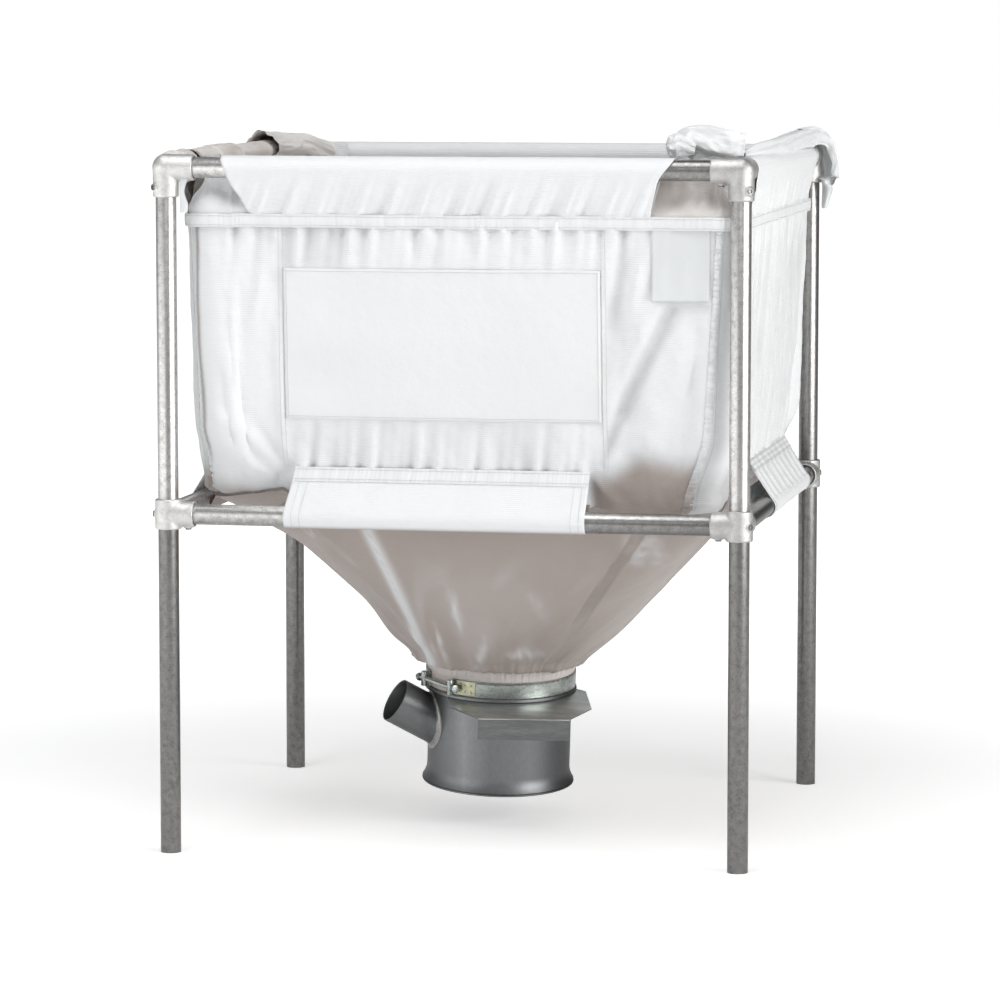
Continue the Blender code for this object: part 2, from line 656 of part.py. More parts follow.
def blade_outline():
    """The blade in plan: a disc that shuts the pot, and a plate with cut corners in front of it."""
    left = BLADE_CENTRE - BLADE_HALF
    right = BLADE_CENTRE + BLADE_HALF
    plate = [(BLADE_CENTRE - HANDLE_HALF, -BLADE_REACH), (BLADE_CENTRE + HANDLE_HALF, -BLADE_REACH),
             (right, -BLADE_SHOULDER), (right, -BLADE_HEEL), (BLADE_STOP_X, 0.0)]
    back = [(BLADE_DISC_R * math.cos(math.pi * i / 24), BLADE_DISC_R * math.sin(math.pi * i / 24))
            for i in range(25)]
    enter = math.acos(left / BLADE_DISC_R)
    side = [(BLADE_DISC_R * math.cos(math.pi + (math.pi - enter) * i / 4),
             -BLADE_DISC_R * math.sin((math.pi - enter) * i / 4)) for i in range(1, 5)]
    return plate + back + side + [(left, -BLADE_SHOULDER)]


def make_gate(mats, frame):
    """The slide gate: a flat blade whose front edge is bent down as a handle."""
    blade = prism("slide_gate", blade_outline(), BLADE_TOP - BLADE_THICK, BLADE_TOP)
    outline = [(BLADE_CENTRE - HANDLE_HALF, -BLADE_REACH), (BLADE_CENTRE + HANDLE_HALF, -BLADE_REACH),
               (BLADE_CENTRE + HANDLE_HALF, -BLADE_REACH + BLADE_THICK),
               (BLADE_CENTRE - HANDLE_HALF, -BLADE_REACH + BLADE_THICK)]
    handle = prism("handle", outline, BLADE_TOP - HANDLE_DROP, BLADE_TOP - BLADE_THICK / 2)
    blade = combine(blade, handle, Matrix.Identity(4), "UNION")
    add_object("slide_gate", tidy(blade), mats["gate"], Matrix.Identity(4), frame)


def main():
    clear_scene()
    mats = {
        "tube": material("galvanised_tube", (0.42, 0.43, 0.43), 0.42, 0.9),
        "casting": material("galvanised_casting", (0.62, 0.63, 0.63), 0.5, 0.8),
        "cloth": material("white_cloth", (0.86, 0.87, 0.88), 0.75, 0.0),
        "patch": material("white_patch", (0.92, 0.92, 0.92), 0.55, 0.0),
        "label": material("paper_label", (0.93, 0.94, 0.95), 0.5, 0.0),
        "pot": material("grey_steel", (0.20, 0.20, 0.21), 0.38, 0.9),
        "gate": material("gate_sheet", (0.30, 0.31, 0.31), 0.35, 0.9),
        "zinc": material("zinc_clamp", (0.42, 0.44, 0.42), 0.3, 0.95),
    }
    make_frame(mats)
    make_fittings(mats)
    make_bag(mats)
    make_sleeves(mats)
    make_tunnels(mats)
    wall_plate("banner_patch", PATCH, mats["patch"])
    wall_plate("info_label", LABEL, mats["label"])
    make_cover(mats)
    make_outlet(mats)


main()
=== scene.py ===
# %% [markdown]
# A fabric pellet silo: a cloth bag hung in a frame of galvanised tube, with a steel pot under it.
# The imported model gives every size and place. This file gives each piece the look of the real one.
# It runs from top to bottom like a notebook: each cell makes one piece or one finish.

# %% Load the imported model
from math import acos, atan2, cos, floor, hypot, pi, radians, sin, sqrt

import bmesh
import bpy
import numpy as np
from mathutils import Matrix, Vector
from mathutils.bvhtree import BVHTree


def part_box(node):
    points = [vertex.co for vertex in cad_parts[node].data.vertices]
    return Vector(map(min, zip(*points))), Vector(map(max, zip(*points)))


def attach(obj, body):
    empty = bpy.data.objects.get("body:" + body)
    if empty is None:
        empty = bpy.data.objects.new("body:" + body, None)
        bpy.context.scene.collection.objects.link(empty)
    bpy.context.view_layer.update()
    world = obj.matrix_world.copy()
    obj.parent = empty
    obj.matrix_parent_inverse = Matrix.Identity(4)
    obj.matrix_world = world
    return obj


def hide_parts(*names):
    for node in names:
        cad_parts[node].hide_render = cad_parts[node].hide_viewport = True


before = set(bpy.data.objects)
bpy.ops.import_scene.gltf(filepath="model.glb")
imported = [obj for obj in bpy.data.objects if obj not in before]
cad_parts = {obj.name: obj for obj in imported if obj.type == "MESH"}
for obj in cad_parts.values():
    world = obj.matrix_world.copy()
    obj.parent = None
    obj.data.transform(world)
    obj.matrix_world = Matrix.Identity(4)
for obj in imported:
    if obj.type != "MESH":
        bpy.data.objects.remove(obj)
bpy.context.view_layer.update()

FRAME_BODY = "frame"
GATE_BODY = "gate"
MM = 0.001

# %% [markdown]
# The frame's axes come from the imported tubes, so that every new piece lands on what carries it.

# %% Read the frame's sizes
def middle(node):
    low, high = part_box(node)
    return (low + high) / 2


LEG_LOW, LEG_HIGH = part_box("leg_front_right")
TUBE_R = (LEG_HIGH.x - LEG_LOW.x) / 2
HALF_X = middle("leg_front_right").x
HALF_Y = -middle("leg_front_right").y
TOP_Z = middle("top_rail_front").z
MID_Z = middle("lower_rail_front").z
print("half spans", round(HALF_X, 4), round(HALF_Y, 4), "rails at", round(TOP_Z, 3), round(MID_Z, 3))

# %% [markdown]
# The camera stands to the right of the middle, a little above the top rail, with a long lens, so the
# upright tubes stay parallel. The focal length is worked out for a picture 1000 pixels wide.

# %% Camera
CAMERA_TURN = radians(11.15)
CAMERA_AWAY = 6.075
CAMERA_HIGH = 1.0876
CAMERA_DIP = radians(6.107)
FOCAL_PIXELS = 4470.0
CAMERA_PAN = 2.0 / FOCAL_PIXELS
PICTURE_PIXELS = 1000.0
SENSOR_MM = 36.0

lens = bpy.data.cameras.new("camera")
lens.sensor_width = SENSOR_MM
lens.lens = FOCAL_PIXELS / PICTURE_PIXELS * SENSOR_MM
camera = bpy.data.objects.new("camera", lens)
camera.location = (sin(CAMERA_TURN) * CAMERA_AWAY, -cos(CAMERA_TURN) * CAMERA_AWAY, CAMERA_HIGH)
camera.rotation_euler = (pi / 2 - CAMERA_DIP, 0, CAMERA_TURN + CAMERA_PAN)
bpy.context.scene.collection.objects.link(camera)
bpy.context.scene.camera = camera
bpy.context.scene.view_settings.view_transform = "Standard"
print("lens", round(lens.lens, 1), "mm")

# %% [markdown]
# Finishes, the world and the geometry trees are all made of nodes. A few small helpers add a node with
# its settings and links in one line, which keeps the cells below short.

# %% Node helpers
def fill(node, inputs):
    """Fills a node's inputs with values or with other nodes' outputs."""
    for key, value in inputs.items():
        if isinstance(value, bpy.types.NodeSocket):
            node.id_data.links.new(value, node.inputs[key])
        else:
            node.inputs[key].default_value = value
    return node


def add_node(tree, kind, inputs=None, **settings):
    """Adds a node, sets its options, and fills its inputs."""
    made = tree.nodes.new(kind)
    for key, value in settings.items():
        setattr(made, key, value)
    return fill(made, inputs or {})


def maths(tree, operation, *values):
    return add_node(tree, "ShaderNodeMath", dict(enumerate(values)), operation=operation).outputs[0]


def scaled(tree, vector, factor):
    return add_node(
        tree, "ShaderNodeVectorMath", {0: vector, "Scale": factor}, operation="SCALE").outputs[0]


def mapped(tree, value, low, high, to=(0.0, 1.0), **settings):
    """Carries a value from one range to another."""
    made = add_node(
        tree, "ShaderNodeMapRange", {"Value": value, "From Min": low, "From Max": high, "To Min": to[0],
        "To Max": to[1]}, **settings)
    return made.outputs["Result"]


def object_place(tree, axis=None):
    """Where the surface lies in the object's own coordinates, whole or along one axis."""
    place = add_node(tree, "ShaderNodeTexCoord").outputs["Object"]
    return add_node(tree, "ShaderNodeSeparateXYZ", {"Vector": place}).outputs[axis] if axis else place


def ramp_node(tree, factor, stops):
    """A colour ramp from (place, colour) stops."""
    made = add_node(tree, "ShaderNodeValToRGB", {"Fac": factor})
    ramp = made.color_ramp
    while len(ramp.elements) < len(stops):
        ramp.elements.new(1.0)
    for element, (place, colour) in zip(ramp.elements, stops):
        element.position = place
        element.color = (*colour, 1.0)
    return made


# %% [markdown]
# A studio shot on white. The world is plain white where the camera sees it. What it throws on the piece
# runs from pale on the left to dark on the right, which gives the round tubes a light and a dark side.

# %% World
def make_world():
    world = bpy.data.worlds.new("studio")
    world.use_nodes = True
    tree = world.node_tree
    tree.nodes.clear()
    place = add_node(tree, "ShaderNodeTexCoord")
    turned = add_node(
        tree, "ShaderNodeMapping", {"Vector": place.outputs["Generated"], "Rotation": (0, 0, -CAMERA_TURN)})
    parts = add_node(tree, "ShaderNodeSeparateXYZ", {"Vector": turned.outputs["Vector"]})
    walls = ramp_node(
        tree, mapped(tree, parts.outputs["X"], -0.9, 0.8), [(0.0, (0.95, 0.96, 0.97)),
        (0.45, (0.55, 0.55, 0.56)), (0.75, (0.10, 0.10, 0.11)), (1.0, (0.30, 0.29, 0.28))])
    soft = add_node(tree, "ShaderNodeBackground", {"Color": walls.outputs["Color"], "Strength": 0.36})
    seen = add_node(tree, "ShaderNodeBackground", {"Color": (1, 1, 1, 1), "Strength": 1.0})
    rays = add_node(tree, "ShaderNodeLightPath")
    mixed = add_node(
        tree, "ShaderNodeMixShader", {"Fac": rays.outputs["Is Camera Ray"], 1: soft.outputs[0],
        2: seen.outputs[0]})
    add_node(tree, "ShaderNodeOutputWorld", {"Surface": mixed.outputs[0]})
    bpy.context.scene.world = world


make_world()
print("world made")

# %% [markdown]
# Five wide soft lights: a low card on the left, one in front, one overhead, a strong one on the right
# that lights the bag's side, and a weak one behind. Wide lights keep the shadows in the folds soft.

# %% Lights
def area_light(name, spot, aim, size, power, tint=(1, 1, 1)):
    data = bpy.data.lights.new(name, "AREA")
    data.shape = "RECTANGLE"
    data.size, data.size_y = size
    data.energy = power
    data.color = tint
    lamp = bpy.data.objects.new(name, data)
    lamp.location = spot
    lamp.rotation_euler = (Vector(aim) - Vector(spot)).to_track_quat("-Z", "Y").to_euler()
    bpy.context.scene.collection.objects.link(lamp)
    return lamp


# each light: its place, what it looks at, its size, its power in watts, and its tint
area_light("left card", (-2.2, -2.0, 0.75), (0, 0, 0.6), (4.2, 1.4), 17)
area_light("front", (1.0, -4.3, 2.3), (0, 0, 0.6), (2.4, 1.0), 8, (1.0, 0.995, 0.985))
area_light("top", (-0.2, -1.1, 3.2), (0, 0, 0.8), (2.0, 2.0), 44, (0.99, 0.995, 1.0))
area_light("right", (3.75, -1.6, 1.35), (0.2, 0, 0.7), (3.0, 2.4), 114, (1.0, 0.99, 0.98))
area_light("back", (0.5, 4.6, 2.4), (0, 0, 0.6), (3.0, 1.6), 14)

# %% [markdown]
# The floor is a wide pale disc. Away from the frame it glows a little, as a studio's lit sweep does,
# so that it runs into the white behind it without a line.

# %% Floor
FLOOR_RADIUS = 40.0
GLOW_FROM = 0.75
GLOW_TO = 2.4
GLOW_NEAR = 0.46
GLOW_CAST = 0.35


def new_material(name):
    mat = bpy.data.materials.new(name)
    mat.use_nodes = True
    return mat, mat.node_tree, mat.node_tree.nodes["Principled BSDF"]


def mesh_from(bm, name):
    mesh = bpy.data.meshes.new(name)
    bm.to_mesh(mesh)
    bm.free()
    return mesh


def object_from(name, mesh):
    obj = bpy.data.objects.new(name, mesh)
    bpy.context.scene.collection.objects.link(obj)
    return obj


def make_floor():
    bm = bmesh.new()
    bmesh.ops.create_circle(bm, cap_ends=True, segments=96, radius=FLOOR_RADIUS)
    ground = object_from("floor", mesh_from(bm, "floor"))
    paint, tree, shader = new_material("floor_paint")
    away = add_node(
        tree, "ShaderNodeVectorMath", {0: object_place(tree)}, operation="LENGTH").outputs["Value"]
    glow = mapped(tree, away, GLOW_FROM, GLOW_TO, (GLOW_NEAR, 1.0), interpolation_type="SMOOTHSTEP")
    # For light that reaches the piece, the glow is weaker than the camera sees and stronger on the left than
    # on the right: painted light from the floor, standing in for a brighter left side of the studio.
    lean = mapped(tree, object_place(tree, "X"), -1.2, 1.2, (GLOW_CAST * 1.7, GLOW_CAST * 0.4))
    rays = add_node(tree, "ShaderNodeLightPath")
    seen = mapped(tree, rays.outputs["Is Camera Ray"], 0.0, 1.0, (lean, 1.0))
    fill(
        shader, {"Emission Strength": maths(tree, "MULTIPLY", glow, seen), "Emission Color": (1, 1, 1, 1),
        "Base Color": (0.90, 0.90, 0.90, 1), "Roughness": 0.9})
    ground.data.materials.append(paint)


make_floor()
print("floor radius", FLOOR_RADIUS)

# %% [markdown]
# Metal finishes. Hot-dip galvanising leaves blotches and grain in the zinc, so the tube's colour and
# roughness both follow noise in the object's own coordinates, one coarse and one fine.

# %% Metal finishes
def noise_at(tree, scale, detail=4.0, stretch=(1, 1, 1), rough=0.6):
    """Noise in the object's coordinates, stretched along an axis where the finish has a grain."""
    grain = add_node(tree, "ShaderNodeMapping", {"Vector": object_place(tree), "Scale": stretch})
    return add_node(
        tree, "ShaderNodeTexNoise", {"Vector": grain.outputs["Vector"], "Scale": scale, "Detail": detail,
        "Roughness": rough}).outputs["Fac"]


def brighter_above(tree, colour, low, high, factors):
    """Scales a colour with height, a painted reflection: tubes that stand against white cloth pick up its
    light.
    """
    return scaled(tree, colour, mapped(tree, object_place(tree, "Z"), low, high, factors))


def scaled_by(tree, colour, value, stops):
    """Scales a colour by a grey ramp of a value; a ramp can't pass one, so it holds quarter levels."""
    grey = ramp_node(tree, value, [(at, (level / 4, level / 4, level / 4)) for at, level in stops])
    full = scaled(tree, grey.outputs["Color"], 4.0)
    return add_node(
        tree, "ShaderNodeVectorMath", {0: colour, 1: full}, operation="MULTIPLY").outputs["Vector"]


def facing_up(tree):
    """How far the surface faces up, from 0 when it is upright to 1 when it is level."""
    normal = add_node(tree, "ShaderNodeNewGeometry").outputs["Normal"]
    return add_node(tree, "ShaderNodeSeparateXYZ", {"Vector": normal}).outputs["Z"]


def across(half):
    """Runs from 0 on the left to 1 on the right, over this distance to each side of the middle."""
    return lambda tree: mapped(tree, object_place(tree, "X"), -half, half)


def metal(
    name, stops, rough, metallic, coarse, fine, bump, stretch=(1, 1, 1), lift=(1.0, 1.0),
    between=(0.35, 0.62), painted_light=None):
    """A metal whose colour, roughness and tiny relief follow a coarse and a fine noise; its colour also
    carries painted light, shade and reflection, scaled by height and by an optional ramp.
    """
    mat, tree, shader = new_material(name)
    broad = noise_at(tree, coarse, 5.0, stretch)
    small = noise_at(tree, fine, 3.0, stretch)
    both = add_node(tree, "ShaderNodeMix", {"Factor": 0.45, "A": broad, "B": small})
    colour = ramp_node(tree, both.outputs["Result"], stops)
    lifted = brighter_above(tree, colour.outputs["Color"], *between, lift)
    # an optional ramp of painted light and shade over the colour
    if painted_light:
        lifted = scaled_by(tree, lifted, painted_light[0](tree), painted_light[1])
    relief = add_node(tree, "ShaderNodeBump", {"Height": small, "Strength": 0.6, "Distance": bump})
    fill(
        shader, {"Base Color": lifted, "Roughness": mapped(tree, both.outputs["Result"], 0.3, 0.7, rough),
        "Normal": relief.outputs["Normal"], "Metallic": metallic})
    return mat


POT_HALF = 0.10
ZINC_STOPS = [(0.34, (0.17, 0.168, 0.162)), (0.47, (0.27, 0.267, 0.26)), (0.66, (0.36, 0.356, 0.35))]
DIPPED = (ZINC_STOPS, (0.36, 0.25), 0.95, 120, 620, 0.00022)
METALS = {
    # painted reflection of the white cloth: every tube is painted lighter higher up
    "tube": metal("galvanised_tube", *DIPPED, lift=(0.85, 1.40)),
    # the front tubes are painted much lighter above the lower rail
    "tube_front": metal("galvanised_front_tube", *DIPPED, lift=(0.82, 2.3), between=(0.436, 0.484)),
    # the top front rail is painted light all along, and darker towards its right end, a painted shade
    "tube_top": metal("galvanised_top_rail", *DIPPED, lift=(2.3, 2.3),
    painted_light=(across(HALF_X), [(0.0, 1.0), (0.4, 1.0), (0.8, 0.56), (1.0, 0.52)])),
    # the low front and left rails are painted lighter on their upper half and towards the left, where the
    # light falls
    "tube_low": metal("galvanised_low_rail", *DIPPED, lift=(0.82, 2.3), between=(0.436, 0.484),
    painted_light=(across(HALF_X), [(0.0, 1.7), (0.3, 1.6), (0.6, 1.1), (1.0, 0.9)])),
    # painted light: the castings are painted lighter on the left and darker on the right
    "casting": metal("galvanised_casting", [(0.35, (0.56, 0.555, 0.545)), (0.5, (0.70, 0.695, 0.685)),
    (0.65, (0.80, 0.795, 0.78))], (0.52, 0.38), 0.85, 90, 700, 0.0009,
    painted_light=(across(HALF_X), [(0.0, 1.10), (0.5, 1.0), (1.0, 0.86)])),
    # painted reflection: a bright upright band a little left of the pot's middle, darker towards the right;
    # the stub shares it
    "pot": metal("pot_steel", [(0.3, (0.215, 0.215, 0.218)), (0.5, (0.238, 0.245, 0.25)),
    (0.7, (0.262, 0.272, 0.28))], (0.46, 0.40), 0.95, 9, 300, 0.00002, (1, 1, 0.5),
    painted_light=(across(POT_HALF), [(0.0, 0.90), (0.05, 0.72), (0.16, 0.93), (0.24, 1.05), (0.32, 1.42),
    (0.40, 1.15), (0.50, 0.93), (0.64, 1.0), (0.76, 0.88), (0.88, 0.62), (1.0, 0.50)])),
    # painted light: the gate's level top is painted much lighter than its upright lip
    "gate": metal("gate_sheet", [(0.3, (0.215, 0.228, 0.228)), (0.5, (0.30, 0.315, 0.312)),
    (0.7, (0.40, 0.415, 0.41))], (0.46, 0.32), 0.9, 40, 260, 0.0002, (0.25, 1, 2.5),
    painted_light=(facing_up, [(0.0, 0.62), (0.25, 0.62), (0.4, 2.6), (0.85, 2.4), (0.97, 1.5)])),
    "zinc": metal("zinc_plate", [(0.3, (0.24, 0.26, 0.25)), (0.5, (0.42, 0.45, 0.43)),
    (0.7, (0.60, 0.62, 0.58))], (0.34, 0.2), 0.96, 60, 400, 0.0002, (1, 1, 2.0)),
    "yellow_zinc": metal("yellow_zinc", [(0.3, (0.36, 0.36, 0.24)), (0.5, (0.52, 0.52, 0.36)),
    (0.7, (0.66, 0.66, 0.48))], (0.38, 0.24), 0.95, 90, 500, 0.0003),
    "screw": metal("screw_steel", [(0.3, (0.10, 0.10, 0.10)), (0.5, (0.22, 0.22, 0.21)),
    (0.7, (0.40, 0.40, 0.39))], (0.5, 0.3), 0.9, 300, 900, 0.0002),
    "weld": metal("ground_weld", [(0.3, (0.26, 0.255, 0.25)), (0.5, (0.38, 0.375, 0.37)),
    (0.7, (0.52, 0.515, 0.51))], (0.40, 0.28), 0.95, 150, 600, 0.0003)}
print("metals", sorted(METALS))

# %% [markdown]
# Every finished piece goes through the same last steps: its object stays at the origin, its mesh gets
# one material, it rides on a body, and the imported nodes that it stands for are hidden.

# %% Finish a piece
def evaluated_mesh(obj):
    return bpy.data.meshes.new_from_object(obj.evaluated_get(bpy.context.evaluated_depsgraph_get()))


def bake_modifiers(obj):
    """Turns an object's modifiers into plain mesh."""
    baked = evaluated_mesh(obj)
    obj.modifiers.clear()
    obj.data = baked
    return obj


def finish_piece(obj, mat, body=FRAME_BODY, nodes=()):
    obj.data.materials.clear()
    obj.data.materials.append(mat)
    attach(obj, body)
    if nodes:
        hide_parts(*nodes)
    print(obj.name, len(obj.data.polygons), "faces")
    return obj


def smooth_mesh(mesh, angle):
    mesh.shade_smooth()
    mesh.set_sharp_from_angle(angle=radians(angle))
    return mesh


def finish_metal(obj, finish, nodes=(), place=Matrix.Identity(4), angle=30, body=FRAME_BODY):
    """Lays a metal piece in place, keeps its corners crisp, and finishes it."""
    obj.data.transform(place)
    smooth_mesh(obj.data, angle)
    finish_piece(obj, METALS[finish], body, nodes)


# %% [markdown]
# Geometry Nodes: a tree is a small machine with named sizes. The helper below builds a tree's inputs,
# sets them on a modifier by their identifiers, and keeps the result as a plain mesh.

# %% Geometry Nodes helpers
KINDS = {float: "NodeSocketFloat", int: "NodeSocketInt", tuple: "NodeSocketVector"}


def start_tree(name, sizes, takes_mesh=False):
    """A geometry tree with one input for each named size; returns the tree and what it is given."""
    tree = bpy.data.node_groups.new(name, "GeometryNodeTree")
    if takes_mesh:
        tree.interface.new_socket("Geometry", in_out="INPUT", socket_type="NodeSocketGeometry")
    for label, value in sizes.items():
        socket = tree.interface.new_socket(label, in_out="INPUT", socket_type=KINDS[type(value)])
        socket.default_value = value
    tree.interface.new_socket("Finish", in_out="INPUT", socket_type="NodeSocketMaterial")
    tree.interface.new_socket("Geometry", in_out="OUTPUT", socket_type="NodeSocketGeometry")
    return tree, tree.nodes.new("NodeGroupInput").outputs


def end_tree(tree, given, geometry):
    """Every tree ends by making its copies real and giving them their material."""
    real = add_node(tree, "GeometryNodeRealizeInstances", {"Geometry": geometry})
    painted = add_node(
        tree, "GeometryNodeSetMaterial", {"Geometry": real.outputs[0], "Material": given["Finish"]})
    add_node(tree, "NodeGroupOutput", {"Geometry": painted.outputs[0]})
    return tree


def grow(name, tree, mat, base=None, **sizes):
    """Runs a tree with these sizes, on a base mesh if it takes one, and returns a plain mesh object."""
    obj = object_from(name, base or bpy.data.meshes.new(name))
    modifier = obj.modifiers.new("grow", "NODES")
    modifier.node_group = tree
    wanted = {key.replace("_", " ").capitalize(): value for key, value in sizes.items()}
    wanted["Finish"] = mat
    for item in tree.interface.items_tree:
        if item.in_out == "INPUT" and item.name in wanted:
            modifier[item.identifier] = wanted[item.name]
    return bake_modifiers(obj)


def stored(tree, name, kind="FLOAT_VECTOR"):
    """A value that the mesh carries under a name."""
    made = add_node(tree, "GeometryNodeInputNamedAttribute", {"Name": name}, data_type=kind)
    return made.outputs["Attribute"]


def copies_on(tree, points, shape, way, **more):
    """A copy of a shape on each point, turned so that its Z lies along a direction."""
    turn = add_node(tree, "FunctionNodeAlignRotationToVector", {"Vector": way}, axis="Z")
    inputs = {"Points": points, "Instance": shape, "Rotation": turn.outputs["Rotation"], **more}
    return add_node(tree, "GeometryNodeInstanceOnPoints", inputs).outputs["Instances"]


# %% [markdown]
# Tubes. On the real frame they are 27 mm galvanised water pipe, sawn square. A tube is a ring swept
# round its wall: the tree draws the wall's section as a rectangle, rounds its corners, and carries it
# round a circle. The same tree makes all twelve tubes, with the length as an input.

# %% Tube tree
TUBE_WALL = 0.0026
TUBE_EDGE = 0.0004


def tube_tree():
    tree, given = start_tree(
        "tube", {"Length": 0.5, "Radius": TUBE_R, "Wall": TUBE_WALL, "Edge": TUBE_EDGE, "Sides": 64})
    mid_wall = maths(tree, "SUBTRACT", given["Radius"], maths(tree, "MULTIPLY", given["Wall"], 0.5))
    ring = add_node(
        tree, "GeometryNodeCurvePrimitiveCircle", {"Resolution": given["Sides"], "Radius": mid_wall})
    level = add_node(tree, "GeometryNodeSetCurveNormal", {"Curve": ring.outputs["Curve"]}, mode="Z_UP")
    wall = add_node(
        tree, "GeometryNodeCurvePrimitiveQuadrilateral", {"Width": given["Wall"],
        "Height": given["Length"]})
    rounded = add_node(
        tree, "GeometryNodeFilletCurve", {"Curve": wall.outputs["Curve"], "Count": 2,
        "Radius": given["Edge"]}, mode="POLY")
    swept = add_node(
        tree, "GeometryNodeCurveToMesh", {"Curve": level.outputs["Curve"],
        "Profile Curve": rounded.outputs["Curve"]})
    return end_tree(tree, given, swept.outputs["Mesh"])


TUBE_TREE = tube_tree()
print("tube tree nodes", len(TUBE_TREE.nodes))

# %% Make the twelve tubes
RAIL_FINISH = {"top_rail_front": "tube_top", "lower_rail_front": "tube_low", "lower_rail_left": "tube_low"}


def make_tube(node):
    low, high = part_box(node)
    size = high - low
    axis = max(range(3), key=lambda i: size[i])
    finish = RAIL_FINISH.get(node, "tube_front" if "front" in node else "tube")
    tube = grow("tube_" + node, TUBE_TREE, METALS[finish], length=size[axis])
    direction = Vector([1.0 if i == axis else 0.0 for i in range(3)])
    turn = direction.to_track_quat("Z", "Y").to_matrix().to_4x4()
    finish_metal(tube, finish, [node], Matrix.Translation((low + high) / 2) @ turn, 35)


for tube_node in sorted(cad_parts):
    if tube_node.startswith(("leg_", "top_rail_", "lower_rail_")):
        make_tube(tube_node)

# %% [markdown]
# Castings. The corners and the lower joints are cast clamp fittings: round sockets that run into each
# other, a thick rim at each mouth, and small bosses for the set screws. Plain bodies are joined and
# bored, then remeshed finely and smoothed a little, which rounds the joins as a mould does.

# %% Mesh building blocks
def lathe(profile, sides, start=0.0, sweep=2 * pi):
    """A closed (radius, height) profile turned about Z."""
    bm = bmesh.new()
    whole = sweep > 2 * pi - 1e-6
    count = sides if whole else sides + 1
    rings = []
    for i in range(count):
        turn = start + sweep * i / sides
        rings.append([bm.verts.new((r * cos(turn), r * sin(turn), z)) for r, z in profile])
    for i in range(sides):
        a, b = rings[i], rings[(i + 1) % count]
        for j in range(len(profile)):
            k = (j + 1) % len(profile)
            bm.faces.new((a[j], a[k], b[k], b[j]))
    if not whole:
        bm.faces.new(rings[0])
        bm.faces.new(list(reversed(rings[-1])))
    bmesh.ops.remove_doubles(bm, verts=bm.verts, dist=1e-6)
    bmesh.ops.recalc_face_normals(bm, faces=bm.faces)
    return mesh_from(bm, "turned")


def rod(radius, low, high, sides=48, edge=0.0):
    """A solid cylinder with slightly rounded rims."""
    e = edge
    rim = [(0.0, low), (radius - e, low), (radius - 0.3 * e, low + 0.3 * e), (radius, low + e)]
    top = [(radius, high - e), (radius - 0.3 * e, high - 0.3 * e), (radius - e, high), (0.0, high)]
    return lathe(rim + top if e else [rim[0], (radius, low), (radius, high), top[-1]], sides)


def along(axis):
    """The turn that lays Z along a direction."""
    return Vector(axis).to_track_quat("Z", "Y").to_matrix().to_4x4()


def combine(base, other, operation, place=Matrix.Identity(4)):
    """Joins or cuts one mesh with another."""
    target, tool = object_from("target", base), object_from("tool", other)
    tool.matrix_world = place
    cut = target.modifiers.new("cut", "BOOLEAN")
    cut.operation, cut.object, cut.solver = operation, tool, "EXACT"
    bpy.context.view_layer.update()
    result = evaluated_mesh(target)
    bpy.data.objects.remove(target)
    bpy.data.objects.remove(tool)
    return result


# %% [markdown]
# The two kinds of fitting share their sizes. An elbow is a ball with three sockets; a lower fitting is
# a collar round the leg with two. Both get their bosses, and then the bores are cut right through.

# %% Fitting shapes
SOCKET_R = 0.0170
COLLAR_R = 0.0175
BALL_R = 0.0176
ELBOW_REACH = 0.0385
MID_REACH = 0.0365
COLLAR_HALF = 0.0200
SOCKET_BORE = TUBE_R + 0.0006
BORE_START = 0.0150
BOSS_R = 0.0056
BOSS_RISE = 0.0016
SCREW_AT = {"corner_elbow": 0.0255, "lower_fitting": 0.0270}
CAST_VOXEL = 0.0012
CAST_KEPT = 0.4
# each corner: the signs of x and y, how far the fitting is turned, and where its collar's screw points
CORNERS = {
    "front_left": (-1, -1, 0.0, radians(185.0)), "front_right": (1, -1, radians(90.0), radians(237.0)),
    "back_right": (1, 1, radians(180.0), radians(215.0)), "back_left": (-1, 1, radians(270.0),
    radians(215.0))}


def screw_spots(kind, screw_turn):
    """Where the set screws stand on a fitting's skin, and which way they point."""
    at = SCREW_AT[kind]
    spots = [(Vector((at, 0, 0)), Vector((0, 0, -1))), (Vector((0, at, 0)), Vector((0, 0, -1)))]
    if kind == "corner_elbow":
        spots.append((Vector((0, 0, -at)), Vector((-1, -1, 0)).normalized()))
    else:
        spots.append((Vector((0, 0, 0)), Vector((cos(screw_turn), sin(screw_turn), 0))))
    return [(point + way * SOCKET_R, way) for point, way in spots]


def fitting_mesh(kind, screw_turn):
    if kind == "corner_elbow":
        bm = bmesh.new()
        bmesh.ops.create_uvsphere(bm, u_segments=48, v_segments=24, radius=BALL_R)
        mesh = mesh_from(bm, kind)
        arms = [((1, 0, 0), ELBOW_REACH), ((0, 1, 0), ELBOW_REACH), ((0, 0, -1), ELBOW_REACH)]
    else:
        mesh = rod(COLLAR_R, -COLLAR_HALF, COLLAR_HALF, edge=0.0012)
        arms = [((1, 0, 0), MID_REACH), ((0, 1, 0), MID_REACH)]
    for axis, reach in arms:
        mesh = combine(mesh, rod(SOCKET_R, 0.0, reach, edge=0.0012), "UNION", along(axis))
    for point, way in screw_spots(kind, screw_turn):
        boss = rod(BOSS_R, -0.003, BOSS_RISE, 24, 0.0008)
        mesh = combine(mesh, boss, "UNION", Matrix.Translation(point) @ along(way))
    for axis, reach in arms:
        mesh = combine(mesh, rod(SOCKET_BORE, BORE_START, reach + 0.01), "DIFFERENCE", along(axis))
    if kind == "lower_fitting":
        mesh = combine(mesh, rod(SOCKET_BORE, -0.05, 0.05), "DIFFERENCE")
    return mesh


